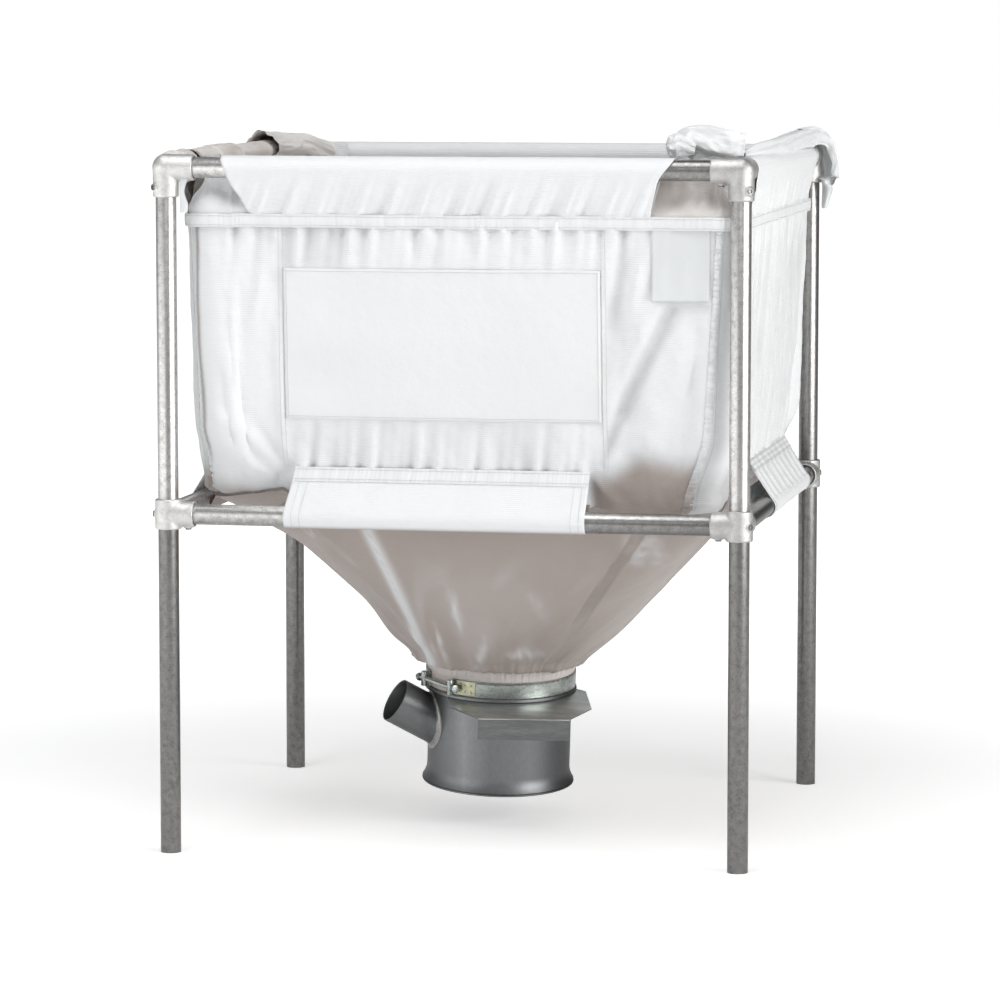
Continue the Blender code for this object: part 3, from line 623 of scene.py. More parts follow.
# %% Cast the eight fittings
def cast_fitting(kind, corner):
    sx, sy, turn, screw_turn = CORNERS[corner]
    obj = object_from(f"{kind}_{corner}_cast", fitting_mesh(kind, screw_turn))
    remesh = obj.modifiers.new("remesh", "REMESH")
    remesh.mode, remesh.voxel_size, remesh.use_smooth_shade = "VOXEL", CAST_VOXEL, True
    soften = obj.modifiers.new("soften", "SMOOTH")
    soften.factor, soften.iterations = 0.5, 4
    obj.modifiers.new("lighter", "DECIMATE").ratio = CAST_KEPT
    bake_modifiers(obj)
    height = TOP_Z if kind == "corner_elbow" else MID_Z
    place = Matrix.Translation((sx * HALF_X, sy * HALF_Y, height)) @ Matrix.Rotation(turn, 4, "Z")
    obj.data.transform(place)
    finish_piece(obj, METALS["casting"], nodes=[f"{kind}_{corner}"])
    return [(place @ point, place.to_3x3() @ way) for point, way in screw_spots(kind, screw_turn)]


SCREWS = []
for fitting_kind in ("corner_elbow", "lower_fitting"):
    for corner_name in CORNERS:
        SCREWS += cast_fitting(fitting_kind, corner_name)
print("set screws to place", len(SCREWS))

# %% [markdown]
# Set screws. Each boss holds a socket set screw with a hexagon recess. The tree builds one screw, a
# short cylinder with a hexagon cut out of it, and puts a copy on each point, turned to the point's
# own direction, which is stored on the points as an attribute.

# %% Screw tree
SCREW_R = 0.0040
SCREW_TALL = 0.0026
HEX_R = 0.0023


def screw_tree():
    tree, given = start_tree(
        "set_screws", {"Radius": SCREW_R, "Height": SCREW_TALL, "Hexagon": HEX_R}, takes_mesh=True)
    body = add_node(
        tree, "GeometryNodeMeshCylinder", {"Vertices": 24, "Radius": given["Radius"],
        "Depth": given["Height"]})
    lift = add_node(tree, "ShaderNodeCombineXYZ", {"Z": given["Height"]}).outputs[0]
    key = add_node(
        tree, "GeometryNodeMeshCylinder", {"Vertices": 6, "Radius": given["Hexagon"],
        "Depth": given["Height"]})
    raised = add_node(
        tree, "GeometryNodeTransform", {"Geometry": key.outputs["Mesh"],
        "Translation": scaled(tree, lift, 0.4)})
    cut = add_node(
        tree, "GeometryNodeMeshBoolean", {"Mesh 1": body.outputs["Mesh"],
        "Mesh 2": raised.outputs["Geometry"]})
    copies = copies_on(tree, given["Geometry"], cut.outputs["Mesh"], stored(tree, "way"))
    return end_tree(tree, given, copies)


def store(mesh, name, kind, values):
    """Stores a value or a vector on each point of a mesh, for a tree or a finish to read."""
    field = mesh.attributes.new(name, kind, "POINT").data
    field.foreach_set("value" if kind == "FLOAT" else "vector", values.astype(np.float32).ravel())


def points_with_ways(name, spots):
    mesh = bpy.data.meshes.new(name)
    mesh.from_pydata([tuple(point) for point, _ in spots], [], [])
    store(mesh, "way", "FLOAT_VECTOR", np.array([way for _, way in spots]))
    return mesh


screw_points = points_with_ways("set_screws", [(p + w * (BOSS_RISE + 0.0002), w) for p, w in SCREWS])
set_screws = grow("set_screws", screw_tree(), METALS["screw"], screw_points)
finish_metal(set_screws, "screw")

# %% [markdown]
# The outlet hangs a little turned and tilted, as the cloth lets it. Its pieces are made in its own
# frame, with the gate's blade at zero and the front at -Y, and then laid in place with one matrix.

# %% The outlet's own frame
OUTLET_AT = Vector((-0.0020, 0.0, 0.1810))
OUTLET_TURN = radians(14.7)
OUTLET_LEAN = radians(1.3)
OUTLET_TILT = radians(4.8)
OUTLET = (
    Matrix.Translation(OUTLET_AT) @ Matrix.Rotation(OUTLET_TURN, 4, "Z")
    @ Matrix.Rotation(OUTLET_LEAN, 4, "Y") @ Matrix.Rotation(OUTLET_TILT, 4, "X"))
POT_R = 0.0980
POT_WALL = 0.0020
POT_BOTTOM = -0.1310
LIP_R = 0.1042
SPIGOT_R = 0.0965
SPIGOT_TOP = 0.0420
SHOULDER_R = 0.1045
SHOULDER_H = 0.0062
SLOT_LOW = -0.0025
SLOT_BACK = 0.0070
print("outlet axis", tuple(round(v, 3) for v in OUTLET.to_3x3() @ Vector((0, 0, 1))))

# %% [markdown]
# The pot is spun from sheet: a spigot for the cloth, a rounded shoulder, a straight wall and a mouth
# that flares out to a rolled lip. One profile turned round the axis gives it, and two cuts follow: the
# slot for the gate and the hole for the suction stub.

# %% Pot profile
def arc(centre_r, centre_z, radius, start, end, steps):
    """Points of an arc in the (radius, height) plane, from one angle to another in degrees."""
    turns = [radians(start + (end - start) * i / steps) for i in range(steps + 1)]
    return [(centre_r + radius * cos(a), centre_z + radius * sin(a)) for a in turns]


def pot_profile():
    inner = POT_R - POT_WALL
    flare = [(0.006 * t * t, -0.108 - 0.019 * t) for t in (0, 0.2, 0.4, 0.6, 0.8, 1.0)]
    outside = [(POT_R + out, z) for out, z in flare]
    inside = [(inner + out, z) for out, z in reversed(flare)]
    lip = arc(LIP_R - 0.0014, POT_BOTTOM + 0.0016, 0.0015, 90, -180, 8)
    shoulder = arc(SHOULDER_R - 0.0045, SHOULDER_H - 0.0045, 0.0045, 80, 0, 6) + [(SHOULDER_R, 0.0004)]
    foot = [(SHOULDER_R - 0.0008, -0.0002), (POT_R + 0.0006, -0.0002), (POT_R, -0.0014)]
    throat = [(inner, SLOT_LOW - 0.001), (SPIGOT_R - POT_WALL, 0.0), (SPIGOT_R - POT_WALL, SPIGOT_TOP)]
    return [
        (SPIGOT_R, SPIGOT_TOP), (SPIGOT_R, SHOULDER_H)] + shoulder + foot + outside + lip + inside + throat


# %% Stub frame
STUB_R = 0.0308
STUB_WALL = 0.0018
STUB_RISE = radians(29.0)
STUB_TURN = radians(12.0)
STUB_ROOT_Z = -0.0970
STUB_REACH = 0.1700
STUB_START = 0.0400
stub_way = Vector((-cos(STUB_TURN) * cos(STUB_RISE), -sin(STUB_TURN) * cos(STUB_RISE), sin(STUB_RISE)))
STUB = Matrix.Translation((0, 0, STUB_ROOT_Z)) @ along(stub_way)
print("stub leans towards", tuple(round(v, 3) for v in stub_way))

# %% Pot, stub and their weld
def make_pot():
    pot = lathe(pot_profile(), 160)
    bm = bmesh.new()
    reach = 0.2
    bmesh.ops.create_cube(
        bm, size=1.0, matrix=Matrix.Translation((0, (SLOT_BACK - reach) / 2, SLOT_LOW / 2))
        @ Matrix.Diagonal((2 * reach, SLOT_BACK + reach, -SLOT_LOW, 1)))
    pot = combine(pot, mesh_from(bm, "slot"), "DIFFERENCE")
    pot = combine(pot, rod(STUB_R - STUB_WALL, STUB_START, STUB_REACH + 0.1, 64), "DIFFERENCE", STUB)
    finish_metal(object_from("spun_pot", pot), "pot", ["outlet_pot"], OUTLET)


def make_stub():
    inner = STUB_R - STUB_WALL
    mouth = arc(STUB_R - STUB_WALL / 2, STUB_REACH - 0.0006, STUB_WALL / 2, 0, 180, 6)
    stub = lathe([(STUB_R, STUB_START)] + mouth + [(inner, STUB_START)], 96)
    stub = combine(stub, rod(POT_R + 0.0002, -0.3, 0.3, 160), "DIFFERENCE", STUB.inverted())
    finish_metal(object_from("stub_tube", stub), "pot", ["suction_stub"], OUTLET @ STUB)


def make_weld():
    """A hollow fillet that follows the line where the stub meets the pot."""
    rounds, steps, wide = 96, 6, 0.0052
    bm = bmesh.new()
    rings = []
    for i in range(rounds):
        turn = 2 * pi * i / rounds
        ring_way = STUB.to_3x3() @ Vector((cos(turn), sin(turn), 0))
        start = STUB.translation + ring_way * STUB_R
        a = stub_way.x ** 2 + stub_way.y ** 2
        b = 2 * (start.x * stub_way.x + start.y * stub_way.y)
        c = start.x ** 2 + start.y ** 2 - (POT_R + 0.0001) ** 2
        reach = (-b + sqrt(b * b - 4 * a * c)) / (2 * a)
        corner = start + stub_way * reach
        out = Vector((corner.x, corner.y, 0)).normalized()
        flat = (ring_way - out * ring_way.dot(out)).normalized()
        up_stub = corner + stub_way * wide + ring_way * 0.0002
        on_pot = corner + flat * wide
        on_pot = Vector((on_pot.x, on_pot.y, 0)).normalized() * (POT_R + 0.0002) + Vector((0, 0, on_pot.z))
        ring = []
        for k in range(steps + 1):
            t = k / steps
            spot = on_pot * (1 - t) ** 2 + corner * (2 * t * (1 - t)) + up_stub * t * t
            ring.append(bm.verts.new(spot + (out + ring_way) * 0.0002))
        ring.append(bm.verts.new(corner - out * 0.0008 - ring_way * 0.0008))
        rings.append(ring)
    for i in range(rounds):
        a, b = rings[i], rings[(i + 1) % rounds]
        for k in range(len(a)):
            m = (k + 1) % len(a)
            bm.faces.new((a[k], a[m], b[m], b[k]))
    bmesh.ops.recalc_face_normals(bm, faces=bm.faces)
    finish_metal(
        object_from("stub_weld", mesh_from(bm, "stub_weld")), "weld", place=OUTLET, angle=60)


make_pot()
make_stub()
make_weld()

# %% [markdown]
# The slide gate is one piece of cut sheet whose front edge is bent down as a handle. It is drawn as a
# surface: the plan outline, then an arc for the bend, then the handle. Solidify gives the thickness
# and a tiny bevel catches the light along the cut edges, as on real sheared sheet.

# %% Slide gate
BLADE_TOP = -0.0005
BLADE_THICK = 0.0015
BLADE_CENTRE = 0.0200
BLADE_HALF = 0.0958
BLADE_DISC_R = 0.0935
BLADE_REACH = 0.1900
BLADE_SHOULDER = 0.1240
BLADE_HEEL = 0.0225
BLADE_STOP_X = 0.0960
HANDLE_HALF = 0.0614
HANDLE_DROP = 0.0290
BEND_R = 0.0022


def make_gate():
    left, right = BLADE_CENTRE - BLADE_HALF, BLADE_CENTRE + BLADE_HALF
    bend_y = -(BLADE_REACH - BEND_R)
    front = [(BLADE_CENTRE - HANDLE_HALF, bend_y), (BLADE_CENTRE + HANDLE_HALF, bend_y)]
    enter = acos(left / BLADE_DISC_R)
    disc = [(BLADE_DISC_R * cos(a), BLADE_DISC_R * sin(a)) for a in np.linspace(0, 2 * pi - enter, 60)]
    outline = front + [(right, -BLADE_SHOULDER), (right, -BLADE_HEEL), (BLADE_STOP_X, 0.0)] + disc
    outline.append((left, -BLADE_SHOULDER))
    bm = bmesh.new()
    plan = [bm.verts.new((x, y, BLADE_TOP)) for x, y in outline]
    bm.faces.new(plan)
    edge = plan[:2]
    steps = [(radians(a), 0.0) for a in (22.5, 45, 67.5, 90)] + [(pi / 2, HANDLE_DROP - BEND_R)]
    for turn, drop in steps:
        y = bend_y - BEND_R * sin(turn)
        z = BLADE_TOP - BEND_R * (1 - cos(turn)) - drop
        row = [bm.verts.new((x, y, z)) for x, _ in front]
        bm.faces.new((edge[0], row[0], row[1], edge[1]))
        edge = row
    bmesh.ops.recalc_face_normals(bm, faces=bm.faces)
    if sum(f.normal.z * f.calc_area() for f in bm.faces) < 0:
        bmesh.ops.reverse_faces(bm, faces=bm.faces)
    gate = object_from("gate_sheet", mesh_from(bm, "gate_sheet"))
    thick = gate.modifiers.new("thick", "SOLIDIFY")
    thick.thickness, thick.offset = BLADE_THICK, -1
    edges = gate.modifiers.new("edges", "BEVEL")
    edges.width, edges.segments, edges.limit_method = 0.0003, 2, "ANGLE"
    finish_metal(bake_modifiers(gate), "gate", ["slide_gate"], OUTLET, body=GATE_BODY)


make_gate()

# %% [markdown]
# The band clamp is a strip of zinc plated steel round the cloth, doubled where its ends lap, with two
# lugs drawn together by a long screw. Rivets through the lap are placed by a small tree.

# %% Clamp sizes
BAND_R = 0.1030
BAND_IN = 0.1015
BAND_LOW = 0.0055
BAND_HIGH = 0.0275
BAND_FROM = radians(-44.0)
BAND_TO = radians(-72.0)
LAP_FROM = radians(-38.5)
LAP_TO = radians(-23.0)
BOLT_AT_R = 0.1108
BOLT_Z = (BAND_LOW + BAND_HIGH) / 2
LUG_TURN = radians(2.0)


def ring_spot(turn, radius, z=0.0):
    """A place on a ring round the outlet, with the turn counted from its front."""
    return Vector((radius * sin(turn), -radius * cos(turn), z))


def rounded_strip(inner, outer, low, high, edge=0.0005):
    """The section of a band with eased edges."""
    return [
        (outer, low + edge), (outer, high - edge), (outer - edge, high), (inner, high), (inner, low),
        (outer - edge, low)]


def joined(name, meshes):
    """Several meshes as one object."""
    bm = bmesh.new()
    for mesh in meshes:
        bm.from_mesh(mesh)
    return object_from(name, mesh_from(bm, name))


# %% Band, lap and lugs
def make_band():
    sweep = 2 * pi - (BAND_FROM - BAND_TO)
    strip = rounded_strip(BAND_IN, BAND_R, BAND_LOW, BAND_HIGH)
    strip[2:2] = [(BAND_R, BAND_HIGH - 0.0036), (BAND_R - 0.0004, BAND_HIGH - 0.0042)]
    parts = [lathe(strip, 144, BAND_FROM - pi / 2, sweep)]
    for turn in (BAND_FROM + LUG_TURN, BAND_TO - LUG_TURN):
        barrel = rod(0.0042, BAND_LOW + 0.001, BAND_HIGH - 0.001, 24, 0.0005)
        barrel.transform(Matrix.Translation(ring_spot(turn, BOLT_AT_R)))
        web = lathe(
            rounded_strip(BAND_IN, BAND_R + 0.0075, BAND_LOW + 0.001, BAND_HIGH - 0.001), 4,
            turn - pi / 2 - 0.012, 0.024)
        parts += [barrel, web]
    finish_metal(joined("clamp_strip", parts), "zinc", ["clamp_band"], OUTLET)
    flap = rounded_strip(BAND_R + 0.0001, BAND_R + 0.0014, BAND_LOW + 0.0008, BAND_HIGH - 0.0008)
    lap = object_from("clamp_lap", lathe(flap, 16, LAP_FROM - pi / 2, LAP_TO - LAP_FROM))
    finish_metal(lap, "yellow_zinc", place=OUTLET)


make_band()

# %% Rivets through the lap
RIVET_R = 0.0016


def rivet_tree():
    """A flattened dome on each point, turned to the point's stored direction."""
    tree, given = start_tree("rivets", {"Radius": RIVET_R, "Flatness": 0.45}, takes_mesh=True)
    dome = add_node(
        tree, "GeometryNodeMeshUVSphere", {"Segments": 16, "Rings": 8, "Radius": given["Radius"]})
    size = add_node(tree, "ShaderNodeCombineXYZ", {"X": 1.0, "Y": 1.0, "Z": given["Flatness"]})
    copies = copies_on(
        tree, given["Geometry"], dome.outputs["Mesh"], stored(tree, "way"), Scale=size.outputs[0])
    return end_tree(tree, given, copies)


def lap_rivets():
    spots = []
    for turn in (LAP_FROM + 0.05, LAP_FROM + 0.13, LAP_TO - 0.05):
        for z in (BAND_LOW + 0.0065, BAND_HIGH - 0.0065):
            way = ring_spot(turn, 1.0)
            spots.append((OUTLET @ ring_spot(turn, BAND_R + 0.0014, z), OUTLET.to_3x3() @ way))
    return spots


rivets = grow("clamp_rivets", rivet_tree(), METALS["zinc"], points_with_ways("clamp_rivets", lap_rivets()))
finish_metal(rivets, "zinc", angle=60)

# %% [markdown]
# The clamp's screw runs through both lugs. Its thread is a row of small ridges on the turned profile,
# and its head and nut are six-sided with eased corners.

# %% Clamp screw and nut
BOLT_R = 0.0030
BOLT_BEHIND = 0.0130
BOLT_AHEAD = 0.0180
NUT_R = 0.0058
NUT_H = 0.0055
NUT_AT = 0.0075
HEAD_R = 0.0060
THREAD_PITCH = 0.0010


def hexagon(radius, low, high):
    """A six-sided nut or head with its end corners turned off."""
    nut = rod(radius, low, high, 6)
    easing = rod(radius * 0.985, low, high, 48, radius * 0.12)
    return combine(nut, easing, "INTERSECT")


def make_screw():
    start, end = (ring_spot(turn, BOLT_AT_R, BOLT_Z) for turn in (BAND_FROM + LUG_TURN, BAND_TO - LUG_TURN))
    length = (end - start).length
    low, high = -BOLT_BEHIND + 0.001, length + BOLT_AHEAD
    ridges = []
    for i in range(int((high - 0.001 - low) / THREAD_PITCH)):
        z = low + i * THREAD_PITCH
        ridges += [(BOLT_R - 0.0004, z), (BOLT_R, z + THREAD_PITCH / 2)]
    shank = lathe([(0, low)] + ridges + [(BOLT_R - 0.0008, high), (0, high)], 24)
    head = hexagon(HEAD_R, -BOLT_BEHIND, NUT_H - BOLT_BEHIND)
    nut = hexagon(NUT_R, length + NUT_AT, length + NUT_AT + NUT_H)
    place = OUTLET @ Matrix.Translation(start) @ along((end - start).normalized())
    finish_metal(joined("clamp_screw", [shank, head, nut]), "zinc", ["clamp_bolt"], place)


make_screw()

# %% [markdown]
# Cloth. The bag is white polyester with a fine crosswise rib. The finish reads each piece's own UV map,
# which is laid out in metres, so the rib keeps its pitch on every piece. A float attribute called
# shade carries painted shade: where the cloth turns under, where it lies in a fold and where it hangs
# in shadow, its colour is painted grey to warm grey.

# %% Cloth finish
RIB_PITCH = 0.0029
WEFT_PITCH = 0.0012


def wave_along(tree, uv, axis, pitch):
    """A sine wave across the cloth with this pitch in metres."""
    parts = add_node(tree, "ShaderNodeSeparateXYZ", {"Vector": uv})
    return maths(tree, "SINE", maths(tree, "MULTIPLY", parts.outputs[axis], 2 * pi / pitch))


def cloth(name, stops, rough=0.82, rib=0.00018, crumple=0.0030, sheen=0.15):
    """Woven cloth: ribs and cross threads, a soft crumple, and a colour that follows the painted shade."""
    mat, tree, shader = new_material(name)
    uv = add_node(tree, "ShaderNodeUVMap", uv_map="UVMap").outputs["UV"]
    ribs = wave_along(tree, uv, "Y", RIB_PITCH)
    threads = wave_along(tree, uv, "X", WEFT_PITCH)
    weave = maths(tree, "MULTIPLY_ADD", threads, 0.35, ribs)
    folds = noise_at(tree, 30, 7.0, rough=0.66)
    soft = add_node(tree, "ShaderNodeBump", {"Height": folds, "Strength": 0.5, "Distance": crumple})
    fine = add_node(
        tree, "ShaderNodeBump", {"Height": weave, "Strength": 0.55, "Distance": rib,
        "Normal": soft.outputs["Normal"]})
    shade = add_node(tree, "ShaderNodeAttribute", attribute_name="shade")
    mottle = maths(tree, "ADD", noise_at(tree, 11, 4.0), -0.5)
    level = maths(tree, "MULTIPLY_ADD", mottle, 0.10, shade.outputs["Fac"])
    # the rib valleys are painted a touch darker, a painted shade
    deep = maths(tree, "MULTIPLY_ADD", ribs, -0.012, level)
    colour = ramp_node(tree, maths(tree, "MULTIPLY", deep, 0.5), stops)
    fill(
        shader, {"Normal": fine.outputs["Normal"], "Base Color": colour.outputs["Color"],
        "Roughness": rough, "Sheen Weight": sheen, "Sheen Roughness": 0.4})
    return mat


# The shade attribute runs along these stops: white cloth, then painted shade from cool grey to warm grey.
CLOTH_STOPS = [
    (0.0, (0.86, 0.875, 0.885)), (0.18, (0.70, 0.715, 0.725)), (0.5, (0.40, 0.345, 0.315)),
    (0.75, (0.27, 0.235, 0.22)), (1.0, (0.13, 0.11, 0.105))]
# The second ramp is the same white cloth painted as if it lay in shade: warm beige even where the shade
# attribute is nothing. Pieces that hang in shadow use it.
IN_SHADE_STOPS = [
    (0.0, (0.84, 0.81, 0.785)), (0.18, (0.68, 0.635, 0.605)), (0.5, (0.40, 0.345, 0.315)),
    (1.0, (0.15, 0.125, 0.12))]
CLOTHS = {
    "cloth": cloth("bag_cloth", CLOTH_STOPS), "warm": cloth("bag_cloth_in_shade", IN_SHADE_STOPS),
    "hopper": cloth("hopper_cloth", CLOTH_STOPS, rough=0.55, rib=0.0001, crumple=0.0042, sheen=0.35),
    "tape": cloth("seam_tape", CLOTH_STOPS, rib=0.00006, crumple=0.0005),
    "patch": cloth("patch_cloth", [(0.0, (0.86, 0.87, 0.875)), (0.5, (0.58, 0.59, 0.60)),
    (1.0, (0.3, 0.3, 0.3))], rough=0.5, rib=0.00003, crumple=0.0034, sheen=0.05),
    "label": cloth("label_paper", [(0.0, (0.76, 0.78, 0.795)), (0.5, (0.5, 0.52, 0.54)),
    (1.0, (0.3, 0.3, 0.3))], rough=0.45, rib=0.00001, crumple=0.0012, sheen=0.0),
    # the thread is painted mid grey: painted shade for the dimples that stitches press into the cloth
    "thread": cloth("sewing_thread_shaded", [(0.0, (0.58, 0.58, 0.58)), (1.0, (0.4, 0.4, 0.4))], rough=0.6)}
print("cloth finishes", sorted(CLOTHS))

# %% [markdown]
# Most cloth pieces are grids of points, worked out with numpy and turned into a mesh by one helper. It
# stores the lengths along the cloth as the UV map, and the shade as an attribute.

# %% Grid helpers
def ease(low, high, value):
    t = np.clip((value - low) / (high - low), 0, 1)
    return t * t * (3 - 2 * t)


def hill(distance, width):
    """One in the middle, falling smoothly to nothing on both sides."""
    return np.exp(-(distance / width) ** 2)


def row_of(*span, **more):
    """Evenly spaced numbers that run along the rows of a grid."""
    return np.linspace(*span, **more)[None, :]


def column_of(*span):
    """Evenly spaced numbers that run down the columns of a grid."""
    return np.linspace(*span)[:, None]


def window(value, low, high, soft):
    """One inside a stretch, fading to nothing over a soft edge."""
    return ease(low - soft, low + soft, value) * (1 - ease(high - soft, high + soft, value))


def noise(u, v, seed, repeat=64):
    """Smooth noise from -1 to 1, one bump for each unit of u and v; it repeats after so many units of u."""
    table = np.random.default_rng(seed).uniform(-1, 1, (64, 64))
    u, v = np.broadcast_arrays(np.asarray(u, float), np.asarray(v, float))
    iu, iv = np.floor(u).astype(int), np.floor(v).astype(int)
    fu, fv = u - iu, v - iv
    fu, fv = fu * fu * (3 - 2 * fu), fv * fv * (3 - 2 * fv)
    corner = [table[(iu + a) % repeat, (iv + b) % 64] for a in (0, 1) for b in (0, 1)]
    return (
        corner[0] * (1 - fu) * (1 - fv) + corner[1] * (1 - fu) * fv + corner[2] * fu * (1 - fv) + corner[3]
        * fu * fv)


def puckers(a, pitch, seed):
    """Uneven waves along a seam, sharper on top than below, as gathered cloth makes."""
    draw = np.random.default_rng(seed)
    total = 0
    for share, weight in ((1.0, 1.0), (0.71, 0.7), (0.47, 0.4)):
        total += weight * np.sin(2 * pi * a / (pitch * share) + draw.uniform(0, 6.28))
    return total / 2.1 * (0.75 + 0.25 * noise(a / (2.5 * pitch), 0, seed + 1))


def grid_lengths(grid):
    """How far each point lies along its row and its column, in metres."""
    across = np.zeros(grid.shape[:2])
    down = np.zeros(grid.shape[:2])
    across[:, 1:] = np.cumsum(np.linalg.norm(np.diff(grid, axis=1), axis=2), axis=1)
    down[1:] = np.cumsum(np.linalg.norm(np.diff(grid, axis=0), axis=2), axis=0)
    return across - across.mean(), down


def unit(vectors):
    return vectors / np.maximum(np.linalg.norm(vectors, axis=-1, keepdims=True), 1e-12)


def grid_normals(grid):
    """Outward normals of a grid whose rows run down and whose columns run to the right."""
    return unit(np.cross(np.gradient(grid, axis=0), np.gradient(grid, axis=1)))


def grid_quads(rows, cols, last):
    """The corners of each quad of a grid; the column after the last one is the first again."""
    index = np.arange(rows * cols).reshape(rows, cols)
    right = np.roll(index, -1, axis=1)
    quads = [index[:-1, :last], index[1:, :last], right[1:, :last], right[:-1, :last]]
    return np.stack(quads, axis=-1).reshape(-1, 4)


def grid_mesh(name, grid, shade=None, wrap=False):
    """A mesh of quads from a grid of points; wrap joins the last column to the first."""
    rows, cols = grid.shape[:2]
    quads = grid_quads(rows, cols, cols if wrap else cols - 1)
    mesh = bpy.data.meshes.new(name)
    mesh.from_pydata(grid.reshape(-1, 3).tolist(), [], quads.tolist())
    across, down = grid_lengths(grid)
    flat = np.stack([across, down], axis=-1).reshape(-1, 2)
    corner_uv = flat[quads]
    if wrap:
        seam = np.ptp(corner_uv[:, :, 0], axis=1) > 0.5 * np.ptp(across)
        step = np.linalg.norm(grid[0, 0] - grid[0, -1])
        corner_uv[seam, 2:, 0] = flat[quads[seam, 0], 0][:, None] + step
    layer = mesh.uv_layers.new(name="UVMap")
    layer.data.foreach_set("uv", corner_uv.astype(np.float32).ravel())
    values = np.zeros(rows * cols) if shade is None else np.broadcast_to(shade, (rows, cols)).ravel()
    store(mesh, "shade", "FLOAT", values)
    mesh.shade_smooth()
    return object_from(name, mesh)


def thicken(obj, thickness):
    """Gives a sheet its real thickness, with closed edges."""
    solid = obj.modifiers.new("thick", "SOLIDIFY")
    solid.thickness, solid.offset, solid.use_rim = thickness, -1.0, True
    return bake_modifiers(obj)


def run_of(points, axis=0):
    """The length of a line of points, or of each line of a grid."""
    return np.linalg.norm(np.diff(points, axis=axis), axis=-1).sum(axis=axis)


def finish_cloth(obj, finish, flat, held, rests_on, nodes=(), slot="cloth", **more):
    """Finishes a piece of cloth with one of the cloth finishes."""
    finish_piece(obj, CLOTHS[finish], nodes=nodes)


def resample(grid, rows, cols, closed):
    """Reads a coarse grid smoothly at fractional rows and columns."""
    def along_axis(points, at, axis, loops):
        first, part = np.floor(at).astype(int), at - np.floor(at)
        count = points.shape[axis]

        def take(step):
            spot = (first + step) % count if loops else np.clip(first + step, 0, count - 1)
            return np.take(points, spot, axis)

        shape = [1, 1, 1]
        shape[axis] = -1
        t = part.reshape(shape)
        a, b, c, d = take(-1), take(0), take(1), take(2)
        return 0.5 * (
            2 * b + (c - a) * t + (2 * a - 5 * b + 4 * c - d) * t ** 2 + (3 * b - a - 3 * c + d) * t ** 3)

    return along_axis(along_axis(grid, rows, 0, False), cols, 1, closed)


print("grid helpers ready")

# %% [markdown]
# The bag hangs from its top seam, is held by the tunnels at its lower seam, and ends at the pot's neck.
# It is first laid out as one coarse sheet with rounded corners. A cloth simulation with a little slack
# then lets it sag and belly between the seams, most of all at the four lower corners.

# %% Bag sizes
SEAM_Z = 0.8340
LOWER_SEAM_Z = 0.5100
HOPPER_TOP_Z = 0.4680
WALL_OUT_TOP = 0.0015
WALL_IN_LOWER = 0.0250
WALL_IN_HOPPER = 0.0290
CORNER_R = (0.040, 0.056)
BELLY_LOW, BELLY_HIGH = 0.474, 0.562
PULL_REACH = 0.075
SHELF_PART = 0.21
LOOSE_REACH = 1.00
LOOSE_LIFT = 0.010
LOOSE_BACK = -0.020
TUCK_IN = 0.022
NECK_R = 0.1035
NECK_LIFT = 0.0440
SIDES = ("front", "right", "back", "left")
SLEEVE_RUNS = {
    "front": (-0.296, 0.272), "right": (-0.295, 0.295), "back": (-0.325, 0.325), "left": (-0.275, 0.235)}
TUNNEL_RUNS = {
    "front": (-0.211, 0.179), "right": (-0.110, 0.265), "back": (-0.193, 0.193), "left": (-0.193, 0.193)}
FRONT_CELLS, SIDE_CELLS, CORNER_CELLS = 64, 57, 8
WALL_ROWS, HOPPER_ROWS = 36, 29

# %% Side coordinates
def side_along(side, grid):
    """The coordinate that runs to the right along a side, seen from outside."""
    return {
        "front": grid[..., 0], "right": grid[..., 1], "back": -grid[..., 0], "left": -grid[..., 1]}[side]


SIDE_OUT = {"front": (0, -1, 0), "right": (1, 0, 0), "back": (0, 1, 0), "left": (-1, 0, 0)}
SIDE_HALF = {"front": HALF_Y, "right": HALF_X, "back": HALF_Y, "left": HALF_X}


def side_out(side, grid):
    """How far outside the rails' axis plane each point lies."""
    return grid @ np.array(SIDE_OUT[side], float) - SIDE_HALF[side]


def on_side(side, a, out, z):
    """Points from a side's own coordinates: along it, outwards from the rail's axis, and up."""
    a, out, z = np.broadcast_arrays(np.asarray(a, float), np.asarray(out, float), np.asarray(z, float))
    way = np.array(SIDE_OUT[side], float)
    right = np.array([-way[1], way[0], 0.0])
    return (
        a[..., None] * right + (SIDE_HALF[side] + out)[..., None] * way + z[..., None]
        * np.array([0.0, 0.0, 1.0]))


print("sides", SIDES)

# %% Lay out the bag
def bag_inset(z):
    """How far the bag's face lies inside the rails' axes at a height."""
    if z >= LOWER_SEAM_Z:
        return -WALL_OUT_TOP + (SEAM_Z - z) / (SEAM_Z - LOWER_SEAM_Z) * (WALL_IN_LOWER + WALL_OUT_TOP)
    part = (LOWER_SEAM_Z - z) / (LOWER_SEAM_Z - HOPPER_TOP_Z)
    return WALL_IN_LOWER + part * (WALL_IN_HOPPER - WALL_IN_LOWER)


def corner_inset(z):
    """The same at the corners, where the full bag stands out over the rails and turns under lower."""
    drop = (SEAM_Z - z) / (SEAM_Z - HOPPER_TOP_Z)
    return -WALL_OUT_TOP + 0.006 * drop + 0.0245 * float(ease(BELLY_HIGH, BELLY_LOW, z))


